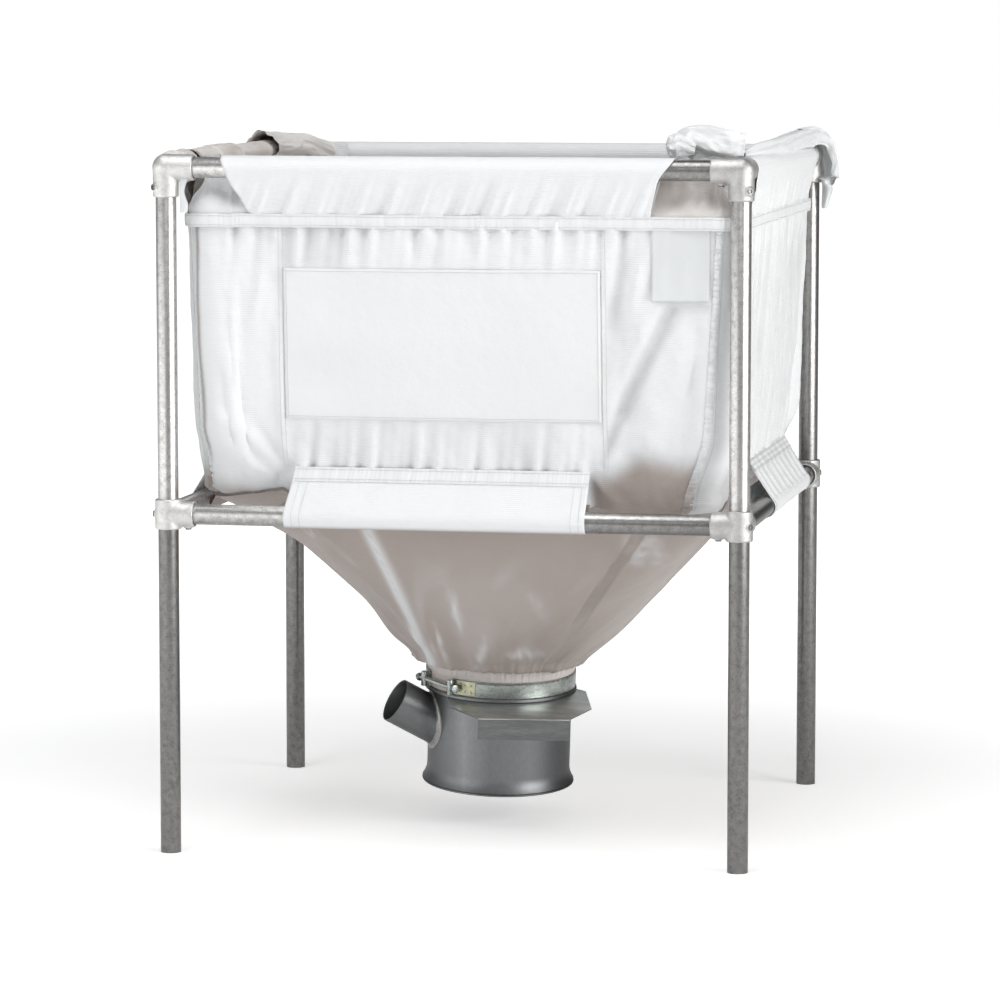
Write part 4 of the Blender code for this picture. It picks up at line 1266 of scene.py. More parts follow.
def ring_plan(half_x, half_y, corner_r):
    """Points round the bag in plan, from the left end of the front face, anticlockwise from above."""
    x, y = half_x - corner_r, half_y - corner_r
    faces = [
        ((-x, -half_y), (x, -half_y), (x, -y), -90, FRONT_CELLS), ((half_x, -y), (half_x, y), (x, y), 0,
        SIDE_CELLS), ((x, half_y), (-x, half_y), (-x, y), 90, FRONT_CELLS),
        ((-half_x, y), (-half_x, -y), (-x, -y), 180, SIDE_CELLS)]
    points = []
    for start, end, centre, angle, cells in faces:
        points += [
            tuple(np.array(start) + (np.array(end) - np.array(start)) * i / cells) for i in range(cells)]
        for i in range(CORNER_CELLS):
            turn = radians(angle + 90 * i / CORNER_CELLS)
            points.append((centre[0] + corner_r * cos(turn), centre[1] + corner_r * sin(turn)))
    return np.array(points)


def tunnel_pull(plan):
    """One where a tunnel holds the bag in, fading to nothing past the tunnel's ends."""
    pull = np.zeros(len(plan))
    start = 0
    for side, cells in zip(SIDES, (FRONT_CELLS, SIDE_CELLS, FRONT_CELLS, SIDE_CELLS)):
        span = slice(start, start + cells + 1)
        a = side_along(side, plan[span])
        low, high = TUNNEL_RUNS[side]
        pull[span] = ease(low - PULL_REACH, low, a) * (1 - ease(high, high + PULL_REACH, a))
        start += cells + CORNER_CELLS
    return pull[:, None]


def tuck_corner(plan, z):
    """Draws the left wall in near the front corner, where no sleeve holds it out."""
    tucked = plan.copy()
    share = ease(-0.205, -0.320, plan[:, 1]) * ease(-0.270, -0.330, plan[:, 0])
    tucked[:, 0] += TUCK_IN * share * float(ease(0.478, 0.550, z))
    return tucked


def loose_corner(rim, below):
    """At the front left corner the hopper leaves the rim on a flat shelf and drops further in."""
    a = np.array([TUNNEL_RUNS["front"][0], -(HALF_Y - WALL_IN_HOPPER)])
    b = np.array([-(HALF_X - WALL_IN_HOPPER), LOOSE_BACK])
    plan, run = rim[:, :2], b - a
    reach = (a[0] * run[1] - a[1] * run[0]) / (plan[:, 0] * run[1] - plan[:, 1] * run[0])
    inside = (reach > 0) & (reach < 1) & (plan[:, 0] < 0) & (plan[:, 1] < 0)
    reach = np.where(inside, reach, 1.0)
    pull = ease(0.0, 0.08, 1 - reach)
    inner = np.c_[plan * (1 + (reach - 1) * LOOSE_REACH)[:, None], np.full(len(rim), HOPPER_TOP_Z + 0.004)]
    return below * (1 - pull)[:, None] + inner * pull[:, None], pull


def bag_grid():
    """The bag before it sags: rows from the top seam down to the neck."""
    rows = []
    for i in range(WALL_ROWS + 1):
        part = i / WALL_ROWS
        z = SEAM_Z + (HOPPER_TOP_Z - SEAM_Z) * part
        corner_r = CORNER_R[0] + (CORNER_R[1] - CORNER_R[0]) * part
        held = ring_plan(HALF_X - bag_inset(z), HALF_Y - bag_inset(z), corner_r)
        full = ring_plan(HALF_X - corner_inset(z), HALF_Y - corner_inset(z), corner_r)
        pull = tunnel_pull(held)
        plan = tuck_corner(held * pull + full * (1 - pull), z)
        rows.append(np.c_[plan, np.full(len(plan), z)])
    inverse = OUTLET.inverted()
    neck = []
    for x, y, _ in rows[-1]:
        local = inverse @ Vector((x, y, OUTLET_AT.z))
        neck.append(
            OUTLET @ (Vector((local.x, local.y, 0)).normalized() * NECK_R + Vector((0, 0, NECK_LIFT))))
    neck = np.array(neck)
    rim = rows[WALL_ROWS]
    shelf, lifted = loose_corner(rim, rim * (1 - SHELF_PART) + neck * SHELF_PART)
    for i in range(WALL_ROWS + 1):
        rows[i][:, 2] += lifted * LOOSE_LIFT * float(ease(0.75, 1.0, i / WALL_ROWS))
    for j in range(1, HOPPER_ROWS + 1):
        part = j / HOPPER_ROWS
        if part < SHELF_PART:
            rows.append(rim + (shelf - rim) * part / SHELF_PART)
        else:
            rows.append(shelf + (neck - shelf) * (part - SHELF_PART) / (1 - SHELF_PART))
    return np.array(rows)


BAG_START = bag_grid()
print("bag grid", BAG_START.shape[:2])

# %% Let the bag sag
SLACK = 1.03
SAG_FRAMES = 30


def held_points(grid):
    """The points that seams hold still: the top seam, the neck, and the tunnels' seams."""
    rows, cols = grid.shape[:2]
    held = np.zeros((rows, cols), bool)
    held[0] = held[-1] = True
    seam_row = round((SEAM_Z - LOWER_SEAM_Z) / (SEAM_Z - HOPPER_TOP_Z) * WALL_ROWS)
    for side in SIDES:
        low, high = TUNNEL_RUNS[side]
        a = side_along(side, grid[seam_row])
        held[seam_row] |= (a > low) & (a < high) & (side_out(side, grid[seam_row]) > -0.04)
    return held


def sag(grid):
    """Runs the cloth simulation on the coarse bag and returns the grid where it comes to rest."""
    obj = grid_mesh("bag_sag", grid, wrap=True)
    obj.shape_key_add(name="Basis")
    slack = obj.shape_key_add(name="slack")
    wide = grid.reshape(-1, 3) * np.array([SLACK, SLACK, 1.0])
    slack.data.foreach_set("co", wide.astype(np.float32).ravel())
    slack.value = 0
    pins = obj.vertex_groups.new(name="held")
    pins.add(np.nonzero(held_points(grid).ravel())[0].tolist(), 1.0, "REPLACE")
    rule = obj.modifiers.new("sag", "CLOTH")
    cloth_set = rule.settings
    cloth_set.quality, cloth_set.mass, cloth_set.air_damping = 6, 0.15, 3
    cloth_set.tension_stiffness = cloth_set.compression_stiffness = 20
    cloth_set.shear_stiffness, cloth_set.bending_stiffness = 6, 0.3
    cloth_set.tension_damping = cloth_set.compression_damping = cloth_set.shear_damping = 5
    cloth_set.vertex_group_mass, cloth_set.rest_shape_key = "held", slack
    rule.collision_settings.use_collision = False
    rule.point_cache.frame_end = SAG_FRAMES
    for step in range(1, SAG_FRAMES + 1):
        bpy.context.scene.frame_set(step)
    rested = evaluated_mesh(obj)
    points = np.zeros(len(rested.vertices) * 3, np.float32)
    rested.vertices.foreach_get("co", points)
    bpy.data.objects.remove(obj)
    bpy.context.scene.frame_set(1)
    return points.reshape(grid.shape).astype(float)


BAG = sag(BAG_START)
print("sagged by up to", round(float(np.abs(BAG - BAG_START).max()) / MM, 1), "mm")

# %% [markdown]
# The sagged sheet is now read again on a finer grid, one panel for each side, with the gathers, folds
# and seam puckers added along its normal. Each panel ends at the corner seams, as on the sewn bag.

# %% Panel sizes
FINE = 0.0034
PATCH = (-0.2205, 0.1955, 0.5745, 0.7715)
LABEL = (0.2625, 0.3365, 0.7335, 0.8275)
TAPE_HIGH, TAPE_LOW = 0.8406, 0.8234
CORNER_SEAMS = {
    "front": (-4.0, 65.6), "right": (65.6, 133.0), "back": (133.0, 205.0), "left": (205.0, 270.0)}
# each fold: from (a, z) to (a, z), its half width, and its height, which is negative for a valley
FRONT_FOLDS = [
    (0.285, 0.722, 0.222, 0.590, 0.0100, -0.0060), (0.222, 0.590, 0.194, 0.522, 0.0070, -0.0045),
    (0.262, 0.722, 0.206, 0.600, 0.0120, 0.0040), (0.318, 0.700, 0.262, 0.560, 0.0160, 0.0045),
    (0.236, 0.812, 0.207, 0.700, 0.0090, -0.0028), (0.256, 0.800, 0.228, 0.690, 0.0090, 0.0026),
    (0.318, 0.660, 0.306, 0.612, 0.0050, -0.0022), (-0.236, 0.815, -0.262, 0.700, 0.0080, 0.0022),
    (-0.262, 0.560, -0.222, 0.512, 0.0090, -0.0038), (-0.300, 0.575, -0.236, 0.530, 0.0140, 0.0040),
    (-0.232, 0.700, -0.228, 0.545, 0.0050, 0.0022)]
FOLD_GAIN = 1.35


def distance_to_line(a, z, a0, z0, a1, z1):
    """Distance of each point from a straight fold, and how far along the fold it lies."""
    da, dz = a1 - a0, z1 - z0
    t = np.clip(((a - a0) * da + (z - z0) * dz) / (da * da + dz * dz), 0, 1)
    return np.hypot(a - a0 - t * da, z - z0 - t * dz), t


def fold(a, z, a0, z0, a1, z1, width, height):
    """A soft ridge or valley along a line, deepest in its middle."""
    away, t = distance_to_line(a, z, a0, z0, a1, z1)
    return FOLD_GAIN * height * hill(away, width) * (0.45 + 0.55 * np.sin(pi * np.clip(t, 0.05, 0.95)))


# %% Panel relief
def wall_relief(side, grid, from_left, from_right):
    """How far the cloth stands out from the sagged sheet, and how much shade is painted on it."""
    a, z = side_along(side, grid), grid[..., 2]
    seed = 11 + 7 * SIDES.index(side)
    sleeve, tunnel = window(a, *SLEEVE_RUNS[side], 0.018), window(a, *TUNNEL_RUNS[side], 0.010)
    held = 1.0
    if side == "front":
        held = 1 - 0.88 * window(a, PATCH[0], PATCH[1], 0.006) * window(z, PATCH[2], PATCH[3], 0.006)
    under_top, over_low = np.clip(TAPE_LOW - z, 0, None), np.clip(z - LOWER_SEAM_Z, 0, None)
    relief = 0.0056 * sleeve * np.exp(-under_top / 0.050) * puckers(a + 0.12 * under_top, 0.034, seed)
    relief += 0.0042 * tunnel * np.exp(-over_low / 0.046) * puckers(a - 0.1 * over_low, 0.031, seed + 3)
    relief *= held
    relief += held * (
        0.0024 * noise(a / 0.085, z / 0.13, seed + 4) + 0.0013 * noise(a / 0.026, z / 0.055, seed + 5)
        + 0.0007 * noise((a + 0.4 * z) / 0.016, (z - 0.3 * a) / 0.04, seed + 7))
    relief += 0.0003 * noise(a / 0.009, z / 0.012, seed + 6)
    low_part = ease(0.60, 0.50, z)
    seam_shade = 0.0
    for away, seam_seed in ((from_left, seed + 8), (from_right, seed + 9)):
        if away is from_left and side == "right":
            continue
        near = hill(away, 0.012)
        relief -= 0.0028 * hill(away, 0.0055)
        relief += near * (0.0007 + 0.0022 * low_part) * puckers(z, 0.0105, seam_seed)
        # painted shade in the dent along the seam
        seam_shade = np.maximum(seam_shade, (0.12 + 0.3 * low_part) * hill(away, 0.005))
    if side == "front":
        for line in FRONT_FOLDS:
            relief += fold(a, z, *line)
        for seam in (PATCH[0] - 0.004, PATCH[1] + 0.004):
            near = hill(a - seam, 0.0045) * window(z, 0.512, TAPE_LOW, 0.006)
            relief += near * (0.0009 + 0.0006 * puckers(z, 0.012, seed + 12))
        relief += 0.0050 * hill(a + 0.293, 0.040) * window(z, 0.53, 0.80, 0.05)
    # Painted shade: below the height where the cloth turns under towards the hopper it is painted warm grey,
    # less on the right.
    turned = 0.520
    if side == "front":
        turned = np.where(a < 0, 0.498, 0.540 - 0.028 * ease(0.25, 0.195, a))
    turned += 0.010 * noise(a / 0.05, 0.3, seed + 14)
    shade = ease(turned + 0.010, turned - 0.034, z) * (1 - tunnel) * (0.4 if side == "right" else 1.0)
    if side == "front":
        piped = window(z, 0.525, 0.90, 0.02)
        relief += 0.0022 * hill(from_left, 0.0030) * piped
        # a painted shadow line in the valley just inside the front left corner seam
        dark = hill(from_left - 0.0080 - 0.002 * noise(0, z / 0.05, seed + 15), 0.0042)
        seam_shade = np.maximum(seam_shade * (from_left > 0.02), 0.95 * dark * piped)
    shade = np.maximum(shade, seam_shade)
    # painted shade in the valleys of the folds
    shade += 0.30 * np.clip(-relief / 0.004, 0, 1.2)
    return relief, shade


def clear_of_tubes(grid):
    """Pushes cloth that would reach into a leg or a lower rail back out of it."""
    gap = TUBE_R + 0.0022
    for sx in (-1, 1):
        for sy in (-1, 1):
            offset = grid[..., :2] - np.array([sx * HALF_X, sy * HALF_Y])
            away = np.maximum(np.linalg.norm(offset, axis=-1), 1e-6)
            grow_by = np.where(away < gap, gap / away, 1.0)[..., None]
            grid[..., :2] = np.array([sx * HALF_X, sy * HALF_Y]) + offset * grow_by
    for side in SIDES:
        out, dz = side_out(side, grid), grid[..., 2] - MID_Z
        away = np.maximum(np.hypot(out, dz), 1e-6)
        push = np.where(away < gap, gap / away - 1, 0.0)
        grid += (push * out)[..., None] * np.array(SIDE_OUT[side], float)
        grid[..., 2] += push * dz
    return grid


# %% Make the four wall panels
PANEL_DROP = 0.375
PANEL_RUN = 0.372
PANEL_WIDTHS = {"front": 0.72, "right": 0.66, "back": 0.72, "left": 0.66}


def panel_grid(side):
    start, end = CORNER_SEAMS[side]
    rows = np.linspace(0, WALL_ROWS + 1.0, int(PANEL_RUN / FINE))
    across_fine = FINE if side in ("front", "right") else 1.2 * FINE
    cols = np.linspace(start, end, int(PANEL_WIDTHS[side] / across_fine))
    fine = resample(BAG, rows, cols, True)
    across, _ = grid_lengths(fine)
    from_left, from_right = across - across[:, :1], across[:, -1:] - across
    relief, shade = wall_relief(side, fine, from_left, from_right)
    return clear_of_tubes(fine + grid_normals(fine) * relief[..., None]), shade


PANELS = {}
for panel_side in SIDES:
    panel_points, panel_shade = panel_grid(panel_side)
    PANELS[panel_side] = panel_points
    panel = grid_mesh("bag_panel_" + panel_side, panel_points, panel_shade)
    finish_cloth(
        panel, "cloth", (run_of(panel_points[0]), PANEL_DROP), "hung", "top_rail_" + panel_side,
        ["bag_wall_" + panel_side])

# %% [markdown]
# The hopper carries on from the walls down to the neck. Its cloth hangs in shade, and the shade is painted
# into its colour as warm grey. It has a sewn ridge on the left of its front with a painted highlight
# along it, a darker double band of painted shade on the right, painted highlight streaks, and long faint
# pleats that gather at the neck.

# %% Hopper
HOPPER_FINE = 0.0045
HOPPER_COLUMNS = 560
HOPPER_RUN = 0.345
HOPPER_FLAT, HOPPER_AREA = (2.62, 0.36), 0.60
# the sewn ridge's line, which gets a painted highlight
RIDGE = ((-0.1268, 0.4274), (-0.0892, 0.2656))
# the lines of a double band of painted shade
BAND_LINES = [
    (0.268, 0.468, 0.2421, 0.4335), (0.2421, 0.4335, 0.2162, 0.4007), (0.2162, 0.4007, 0.1584, 0.3278),
    (0.1584, 0.3278, 0.1275, 0.2859)]
# each painted highlight streak: from (x, z) to (x, z), its half width, and how bright it is
STREAKS = [
    (-0.0290, 0.346, -0.0240, 0.2765, 0.0080, 0.42), (-0.0262, 0.304, -0.0235, 0.274, 0.0034, 0.30),
    (-0.0617, 0.2867, -0.0505, 0.2214, 0.0042, 0.50), (0.0085, 0.2693, -0.0096, 0.2229, 0.0058, 0.50),
    (0.0758, 0.3447, 0.0964, 0.2954, 0.0085, 0.20), (0.0230, 0.2390, 0.0930, 0.2480, 0.0080, 0.38),
    (-0.2180, 0.4250, -0.2050, 0.4050, 0.0060, 0.40), (-0.0740, 0.2760, -0.0660, 0.2350, 0.0034, 0.25),
    (-0.1700, 0.3900, -0.1500, 0.3640, 0.0050, 0.15)]


def hopper_grid():
    rows = np.linspace(WALL_ROWS + 1.0, WALL_ROWS + HOPPER_ROWS, int(HOPPER_RUN / HOPPER_FINE))
    count = 2 * (FRONT_CELLS + SIDE_CELLS + 2 * CORNER_CELLS)
    cols = np.linspace(0, count, HOPPER_COLUMNS, endpoint=False)
    fine = resample(BAG, rows, cols, True)
    part = column_of(0, 1, len(rows))
    turn = (cols / count)[None, :] * np.ones_like(part)
    x, z = fine[..., 0], fine[..., 2]
    near_front = fine[..., 1] < -0.25 * z
    neck = ease(0.80, 1.0, part)
    relief = 0.0015 * neck * puckers(turn, 1 / 52, 91) + 0.0036 * ease(0.2, 0.85, part) * (
        1 - 0.6 * neck) * noise(turn * 34 + 1.5 * part, part * 2.6, 92, 34)
    relief += 0.0042 * noise(turn * 14, part * 2.2, 93, 14) * (1 - neck)
    relief += 0.0012 * noise(turn * 64 + 4 * part, part * 7, 94) * (1 - 0.5 * neck)
    left = np.array([-cos(CAMERA_TURN), -sin(CAMERA_TURN), 0.0])
    left_face = ease(0.30, 0.60, grid_normals(fine) @ left)
    relief -= 0.0100 * left_face * window(part, 0.31, 0.76, 0.10)
    # Painted shade: the whole hopper is painted as in shadow, with random variation towards the neck.
    shade = 1.02 - 0.24 * noise(turn * 40, part * 3.0, 95, 40) * ease(0.5, 1.0, part)
    # painted glints: small highlights of sheen on the hopper's cloth
    glints = np.clip(
        noise(turn * 64 + 5 * part, part * 3.0, 99) - 0.38, 0, 1) * window(part, 0.40, 0.92, 0.2)
    shade = shade + 0.10 * noise(turn * 9, part * 2.0, 96, 9) - 0.4 * glints
    (x0, z0), (x1, z1) = RIDGE
    away, _ = distance_to_line(x, z, x0, z0, x1 + (x1 - x0) * 0.25, z1 + (z1 - z0) * 0.25)
    # a painted highlight along the sewn ridge, with a thin darker line at its middle
    bright = hill(away, 0.0085) * near_front
    relief += 0.0020 * hill(away, 0.006) * near_front
    shade = shade - 0.72 * bright + 0.22 * hill(away, 0.0012) * near_front
    # a band of painted shade with darker edges on the right of the front, over a slight dent
    band = 0
    for line in BAND_LINES:
        away, _ = distance_to_line(x, z, *line)
        edge = hill(away - 0.0062, 0.0011)
        band = np.maximum(band, (ease(0.0075, 0.0055, away) + 0.35 * edge) * near_front)
    shade += 0.30 * band * ease(0.27, 0.33, z)
    relief -= 0.0006 * band
    # a crumpled patch: real wrinkles, with a painted highlight on them
    crumple_and_highlight = window(x, 0.215, 0.262, 0.012) * window(z, 0.385, 0.43, 0.01) * near_front
    relief += 0.0030 * crumple_and_highlight * noise(x / 0.009, z / 0.008, 97)
    shade -= 0.44 * crumple_and_highlight * (0.6 + 0.4 * noise(x / 0.008, z / 0.007, 98))
    # painted highlight streaks of sheen, broken up by noise
    broken = 0.75 + 0.55 * noise(x / 0.0045, z / 0.012, 101)
    for *line, wide, strong in STREAKS:
        away, t = distance_to_line(x, z, *line)
        streak = hill(away, wide) * np.sin(pi * np.clip(t, 0.08, 0.92)) * near_front * broken
        relief, shade = relief + 0.0014 * streak, shade - strong * streak
    held = ease(1.0, 0.985, part)
    return fine + grid_normals(fine) * (relief * held)[..., None], shade


hopper_points, hopper_shade = hopper_grid()
hopper = grid_mesh("hopper_cloth", clear_of_tubes(hopper_points), hopper_shade, wrap=True)
finish_cloth(
    hopper, "hopper", HOPPER_FLAT, "hung", "bag_panel_front", ["hopper_panel_" + s for s in SIDES],
    area=HOPPER_AREA)

# %% [markdown]
# The neck's cuff is a gathered ring of the same cloth. It stands up ruffled above the clamp and is
# pressed flat under it.

# %% Neck cuff
CUFF_R = 0.1011
CUFF_LOW = 0.0050
CUFF_TOP = 0.0465
CUFF_CLOTH = 0.0008
CUFF_FLAT = (0.66, 0.050)


def make_cuff():
    turns = row_of(0, 2 * pi, 500, endpoint=False)
    rise = column_of(1, 0, 22)
    uneven = noise(2.6 * np.cos(turns), 2.6 * np.sin(turns), 33)
    ripple = puckers(turns / (2 * pi), 1 / 58, 31) * (0.75 + 0.5 * uneven)
    ripple += 0.5 * puckers(turns / (2 * pi), 1 / 133, 32)
    free = ease(0.50, 0.72, rise)
    radius = CUFF_R + 0.0034 * ease(0.5, 0.9, rise) + 0.0013 * free * ripple
    height = CUFF_LOW + (CUFF_TOP - CUFF_LOW) * rise
    height = height + ease(0.8, 1, rise) * (0.0012 * ripple + 0.0022 * (1 + uneven))
    local = np.stack([radius * np.sin(turns), -radius * np.cos(turns), height + 0 * turns], axis=-1)
    spot = np.array(OUTLET.to_3x3()) @ local[..., None]
    points = spot[..., 0] + np.array(OUTLET.translation)
    # Painted shade: the cuff is painted as in shadow, darker in its ripples' valleys, along its top edge and
    # low down under the clamp.
    shade = 0.34 - 0.22 * ripple * free + 0.5 * ease(0.93, 1.0, rise) + 0.3 * ease(0.62, 0.5, rise)
    cuff = thicken(grid_mesh("neck_ruffle", points, shade, wrap=True), CUFF_CLOTH)
    finish_cloth(cuff, "warm", CUFF_FLAT, "gathered", "outlet_pot", ["neck_cuff"])


make_cuff()

# %% [markdown]
# Sleeves carry the bag on the top rails. In section a sleeve leaves its seam, touches the rail, goes
# over it and comes back down inside. The section is worked out from the tangent lines to the tube, and
# soft slanting folds are added where the front drops straight to the seam.

# %% Section of a loop of cloth round a tube
LOOP_R = 0.0152


def loop_section(start, end, around, counts):
    """Points (out, up) from a seam, round the tube and back to another seam, relative to its axis."""
    def tangent(point, sign):
        away = hypot(*point)
        return atan2(point[1], point[0]) + sign * acos(LOOP_R / away)

    first, last = tangent(start, around), tangent(end, -around)
    while (last - first) * around < 0:
        last += 2 * pi * around
    turns = np.linspace(first, last, counts[1])
    ring = np.stack([LOOP_R * np.cos(turns), LOOP_R * np.sin(turns)], axis=-1)
    going = np.linspace(start, ring[0], counts[0], endpoint=False)
    back = np.linspace(ring[-1], end, counts[2] + 1)[1:]
    return np.concatenate([going, ring, back])


SLEEVE_DROP = SEAM_Z - TOP_Z
SLEEVE_ROUND = 0.172
LOOP_CLOTH = 0.0007
SLEEVE_SECTION = loop_section((0.0020, SLEEVE_DROP), (-0.0016, SLEEVE_DROP), 1, (26, 22, 14))
print("sleeve section", len(SLEEVE_SECTION), "points")

# %% Make the sleeves
def sleeve_ends(side, up, part):
    """Where a sleeve starts and ends at each height; the front's ends are cut slanting and curved."""
    start, end = SLEEVE_RUNS[side]
    start, end = start + 0 * up, end + 0 * up
    if side == "front":
        start = start - 0.51 * up + 0.0015 * np.sin(up * 90)
        end = end + 0.12 * up + 0.018 * ease(-0.030, 0.016, up) ** 2 - 0.004 * ease(-0.01, -0.06, up)
        start = start + 0.016 * ease(0.5, 0.9, part)
    return start, end


def make_sleeve(side, columns):
    out, up = SLEEVE_SECTION[:, 0][:, None], SLEEVE_SECTION[:, 1][:, None]
    part = column_of(0, 1, len(SLEEVE_SECTION))
    start, end = sleeve_ends(side, up, part)
    share = row_of(0, 1, columns)
    a = start + (end - start) * share
    seed = 41 + 9 * SIDES.index(side)
    outer = (out > 0) * 1.0
    hang = ease(0.004, -0.055, up)
    slant = a - 0.42 * (up + 0.066)
    waves = puckers(slant, 0.046, seed)
    seam_near = ease(-0.055, -0.064, up)
    relief = outer * hang * (
        0.0042 * waves + 0.0020 * puckers(slant, 0.019, seed + 1)) * (1 - 0.8 * seam_near)
    relief += outer * hang * 0.0022 * noise((a - 0.7 * up) / 0.022, (up + 0.3 * a) / 0.05, seed + 3)
    relief += 0.0005 * noise(a / 0.03, part * 7, seed + 2)
    relief -= 0.0011 * outer * hang * (1 - ease(0.0, 0.03, share)) * 0.5
    hem = hill(a - start - 0.004, 0.003) + hill(end - 0.011 - a, 0.0016)
    relief += 0.0005 * hem * (side == "front")
    if side == "left":
        bulk = 1 + 0.34 * ease(0.0, 0.008, up) + 0.10 * noise(a / 0.03, part * 5, 48)
        out, up = out * bulk, np.where(up > 0, up * bulk, up + 0 * a)
    across = out + relief + 0.0004
    points = on_side(side, a, across, TOP_Z + up + 0 * a)
    # Painted shade: the inner side of a sleeve, much darker on the front, and the valleys of its folds.
    inside = (out < -0.004) * (0.5 if side == "front" else 0.04)
    shade = inside + 0.14 * np.clip(-waves, 0, 1) * hang * outer
    if side == "left":
        # on the left sleeve the inner side and the front end get more painted shade
        inner = ease(0.006, -0.006, out + 0 * a)
        shade += inner * (0.22 + 0.2 * noise(a / 0.05, part * 4, 47) + 0.9 * ease(0.97, 1.0, share))
    sleeve = thicken(grid_mesh("sleeve_" + side, points, np.clip(shade, 0, 1.3)), LOOP_CLOTH)
    width = SLEEVE_RUNS[side][1] - SLEEVE_RUNS[side][0]
    # the left sleeve uses the cloth painted as if in shade
    finish_cloth(
        sleeve, "warm" if side == "left" else "cloth", (width, SLEEVE_ROUND), "hung", "top_rail_" + side,
        ["top_sleeve_" + side])
    return points


SLEEVES = {}
for sleeve_side, sleeve_columns in (("front", 200), ("right", 140), ("back", 110), ("left", 110)):
    SLEEVES[sleeve_side] = make_sleeve(sleeve_side, sleeve_columns)

# %% [markdown]
# Tunnels tie the bag to the lower rails. Cloth leaves the wall's seam, slopes out to the rail, goes
# round under it and returns to the hopper's seam. The right one is laid in narrow pleats.

# %% Make the tunnels
TUNNEL_START = (0.0010 - WALL_IN_LOWER, LOWER_SEAM_Z - MID_Z + 0.001)
TUNNEL_END = (0.0006 - WALL_IN_HOPPER, HOPPER_TOP_Z - MID_Z)
TUNNEL_SECTION = loop_section(TUNNEL_START, TUNNEL_END, -1, (20, 24, 8))
TUNNEL_ROUND = 0.135
PLEAT_PITCH = 0.0400
PLEAT_DEEP = 0.0028


def make_tunnel(side, columns):
    out, up = TUNNEL_SECTION[:, 0][:, None], TUNNEL_SECTION[:, 1][:, None]
    part = column_of(0, 1, len(TUNNEL_SECTION))
    start, end = TUNNEL_RUNS[side]
    share = row_of(0, 1, columns)
    lean = (-0.008 if side == "front" else 0.012) * ease(0.0, 0.45, part)
    a = start + (lean if side == "front" else 0) + (end - start - lean * 0.9) * share
    seed = 71 + 5 * SIDES.index(side)
    slope = ease(0.0, 0.3, part) * (1 - ease(0.36, 0.5, part))
    if side == "right":
        cycle = np.mod(a / PLEAT_PITCH + 0.25 * noise(a / 0.05, part * 1.5, 5), 1)
        lift = np.minimum(cycle / 0.75, (1 - cycle) / 0.25)
        relief = PLEAT_DEEP * lift * (1 - ease(0.34, 0.46, part))
        # painted shade in the pleats' valleys
        shade = 0.40 * ease(0.32, 0.0, lift) * (1 - ease(0.34, 0.46, part))
    else:
        relief = 0.0007 * slope * noise(a / 0.05, part * 3, seed) + 0.0002 * puckers(a, 0.012, seed + 1) * (
            1 - ease(0.1, 0.25, part))
        shade = 0 * a + 0 * part
    hems = hill(a - start - 0.012, 0.0015) + hill(end - 0.012 - a, 0.0015)
    relief += 0.0005 * hems * (1 - ease(0.42, 0.5, part))
    step_out, step_up = np.gradient(TUNNEL_SECTION, axis=0).T
    normal = unit(np.stack([step_up, -step_out], axis=-1))
    points = on_side(
        side, a, out + normal[:, 0][:, None] * relief, MID_Z + up + normal[:, 1][:, None] * relief)
    # painted shade on the part that turns under the rail, kept faint on the right
    shade = np.maximum(shade, ease(0.55, 0.68, part) * (0.05 if side == "right" else 1.0) + 0 * a)
    tunnel = thicken(grid_mesh("tunnel_" + side, points, shade), LOOP_CLOTH)
    finish_cloth(
        tunnel, "cloth", (end - start, TUNNEL_ROUND), "hung", "lower_rail_" + side,
        ["lower_tunnel_" + side])
    return points


TUNNELS = {}
for tunnel_side, tunnel_columns in (("front", 150), ("right", 240), ("back", 80), ("left", 80)):
    TUNNELS[tunnel_side] = make_tunnel(tunnel_side, tunnel_columns)

# %% [markdown]
# At the four corners no sleeve reaches the elbows. There a web of cloth rises from the wall's top seam
# and passes inside the rails.

# %% Corner webs
WEB_TOP = 0.0120
WEB_IN = 0.0205
WEB_TALL = 0.082
WEB_ROWS, WEB_COLUMNS = 26, 150
CORNER_AFTER = {
    "front_right": ("front", "right"), "back_right": ("right", "back"), "back_left": ("back", "left"),
    "front_left": ("left", "front")}
WEB_SHADE = {"front_right": 0.24, "back_right": 0.30, "back_left": 0.10, "front_left": 0.0}
WEB_TURNS_IN = {corner: (0.14, 0.68) if corner == "front_left" else (0.02, 0.62) for corner in CORNER_AFTER}


def top_column(side, a):
    """The column of the bag's grid that meets the top seam at this place along a side."""
    turn = SIDES.index(side)
    start = turn * CORNER_CELLS + (turn + 1) // 2 * FRONT_CELLS + turn // 2 * SIDE_CELLS
    cells = FRONT_CELLS if side in ("front", "back") else SIDE_CELLS
    places = side_along(side, BAG_START[0, start:start + cells + 1])
    return start + float(np.interp(a, places, np.arange(cells + 1)))


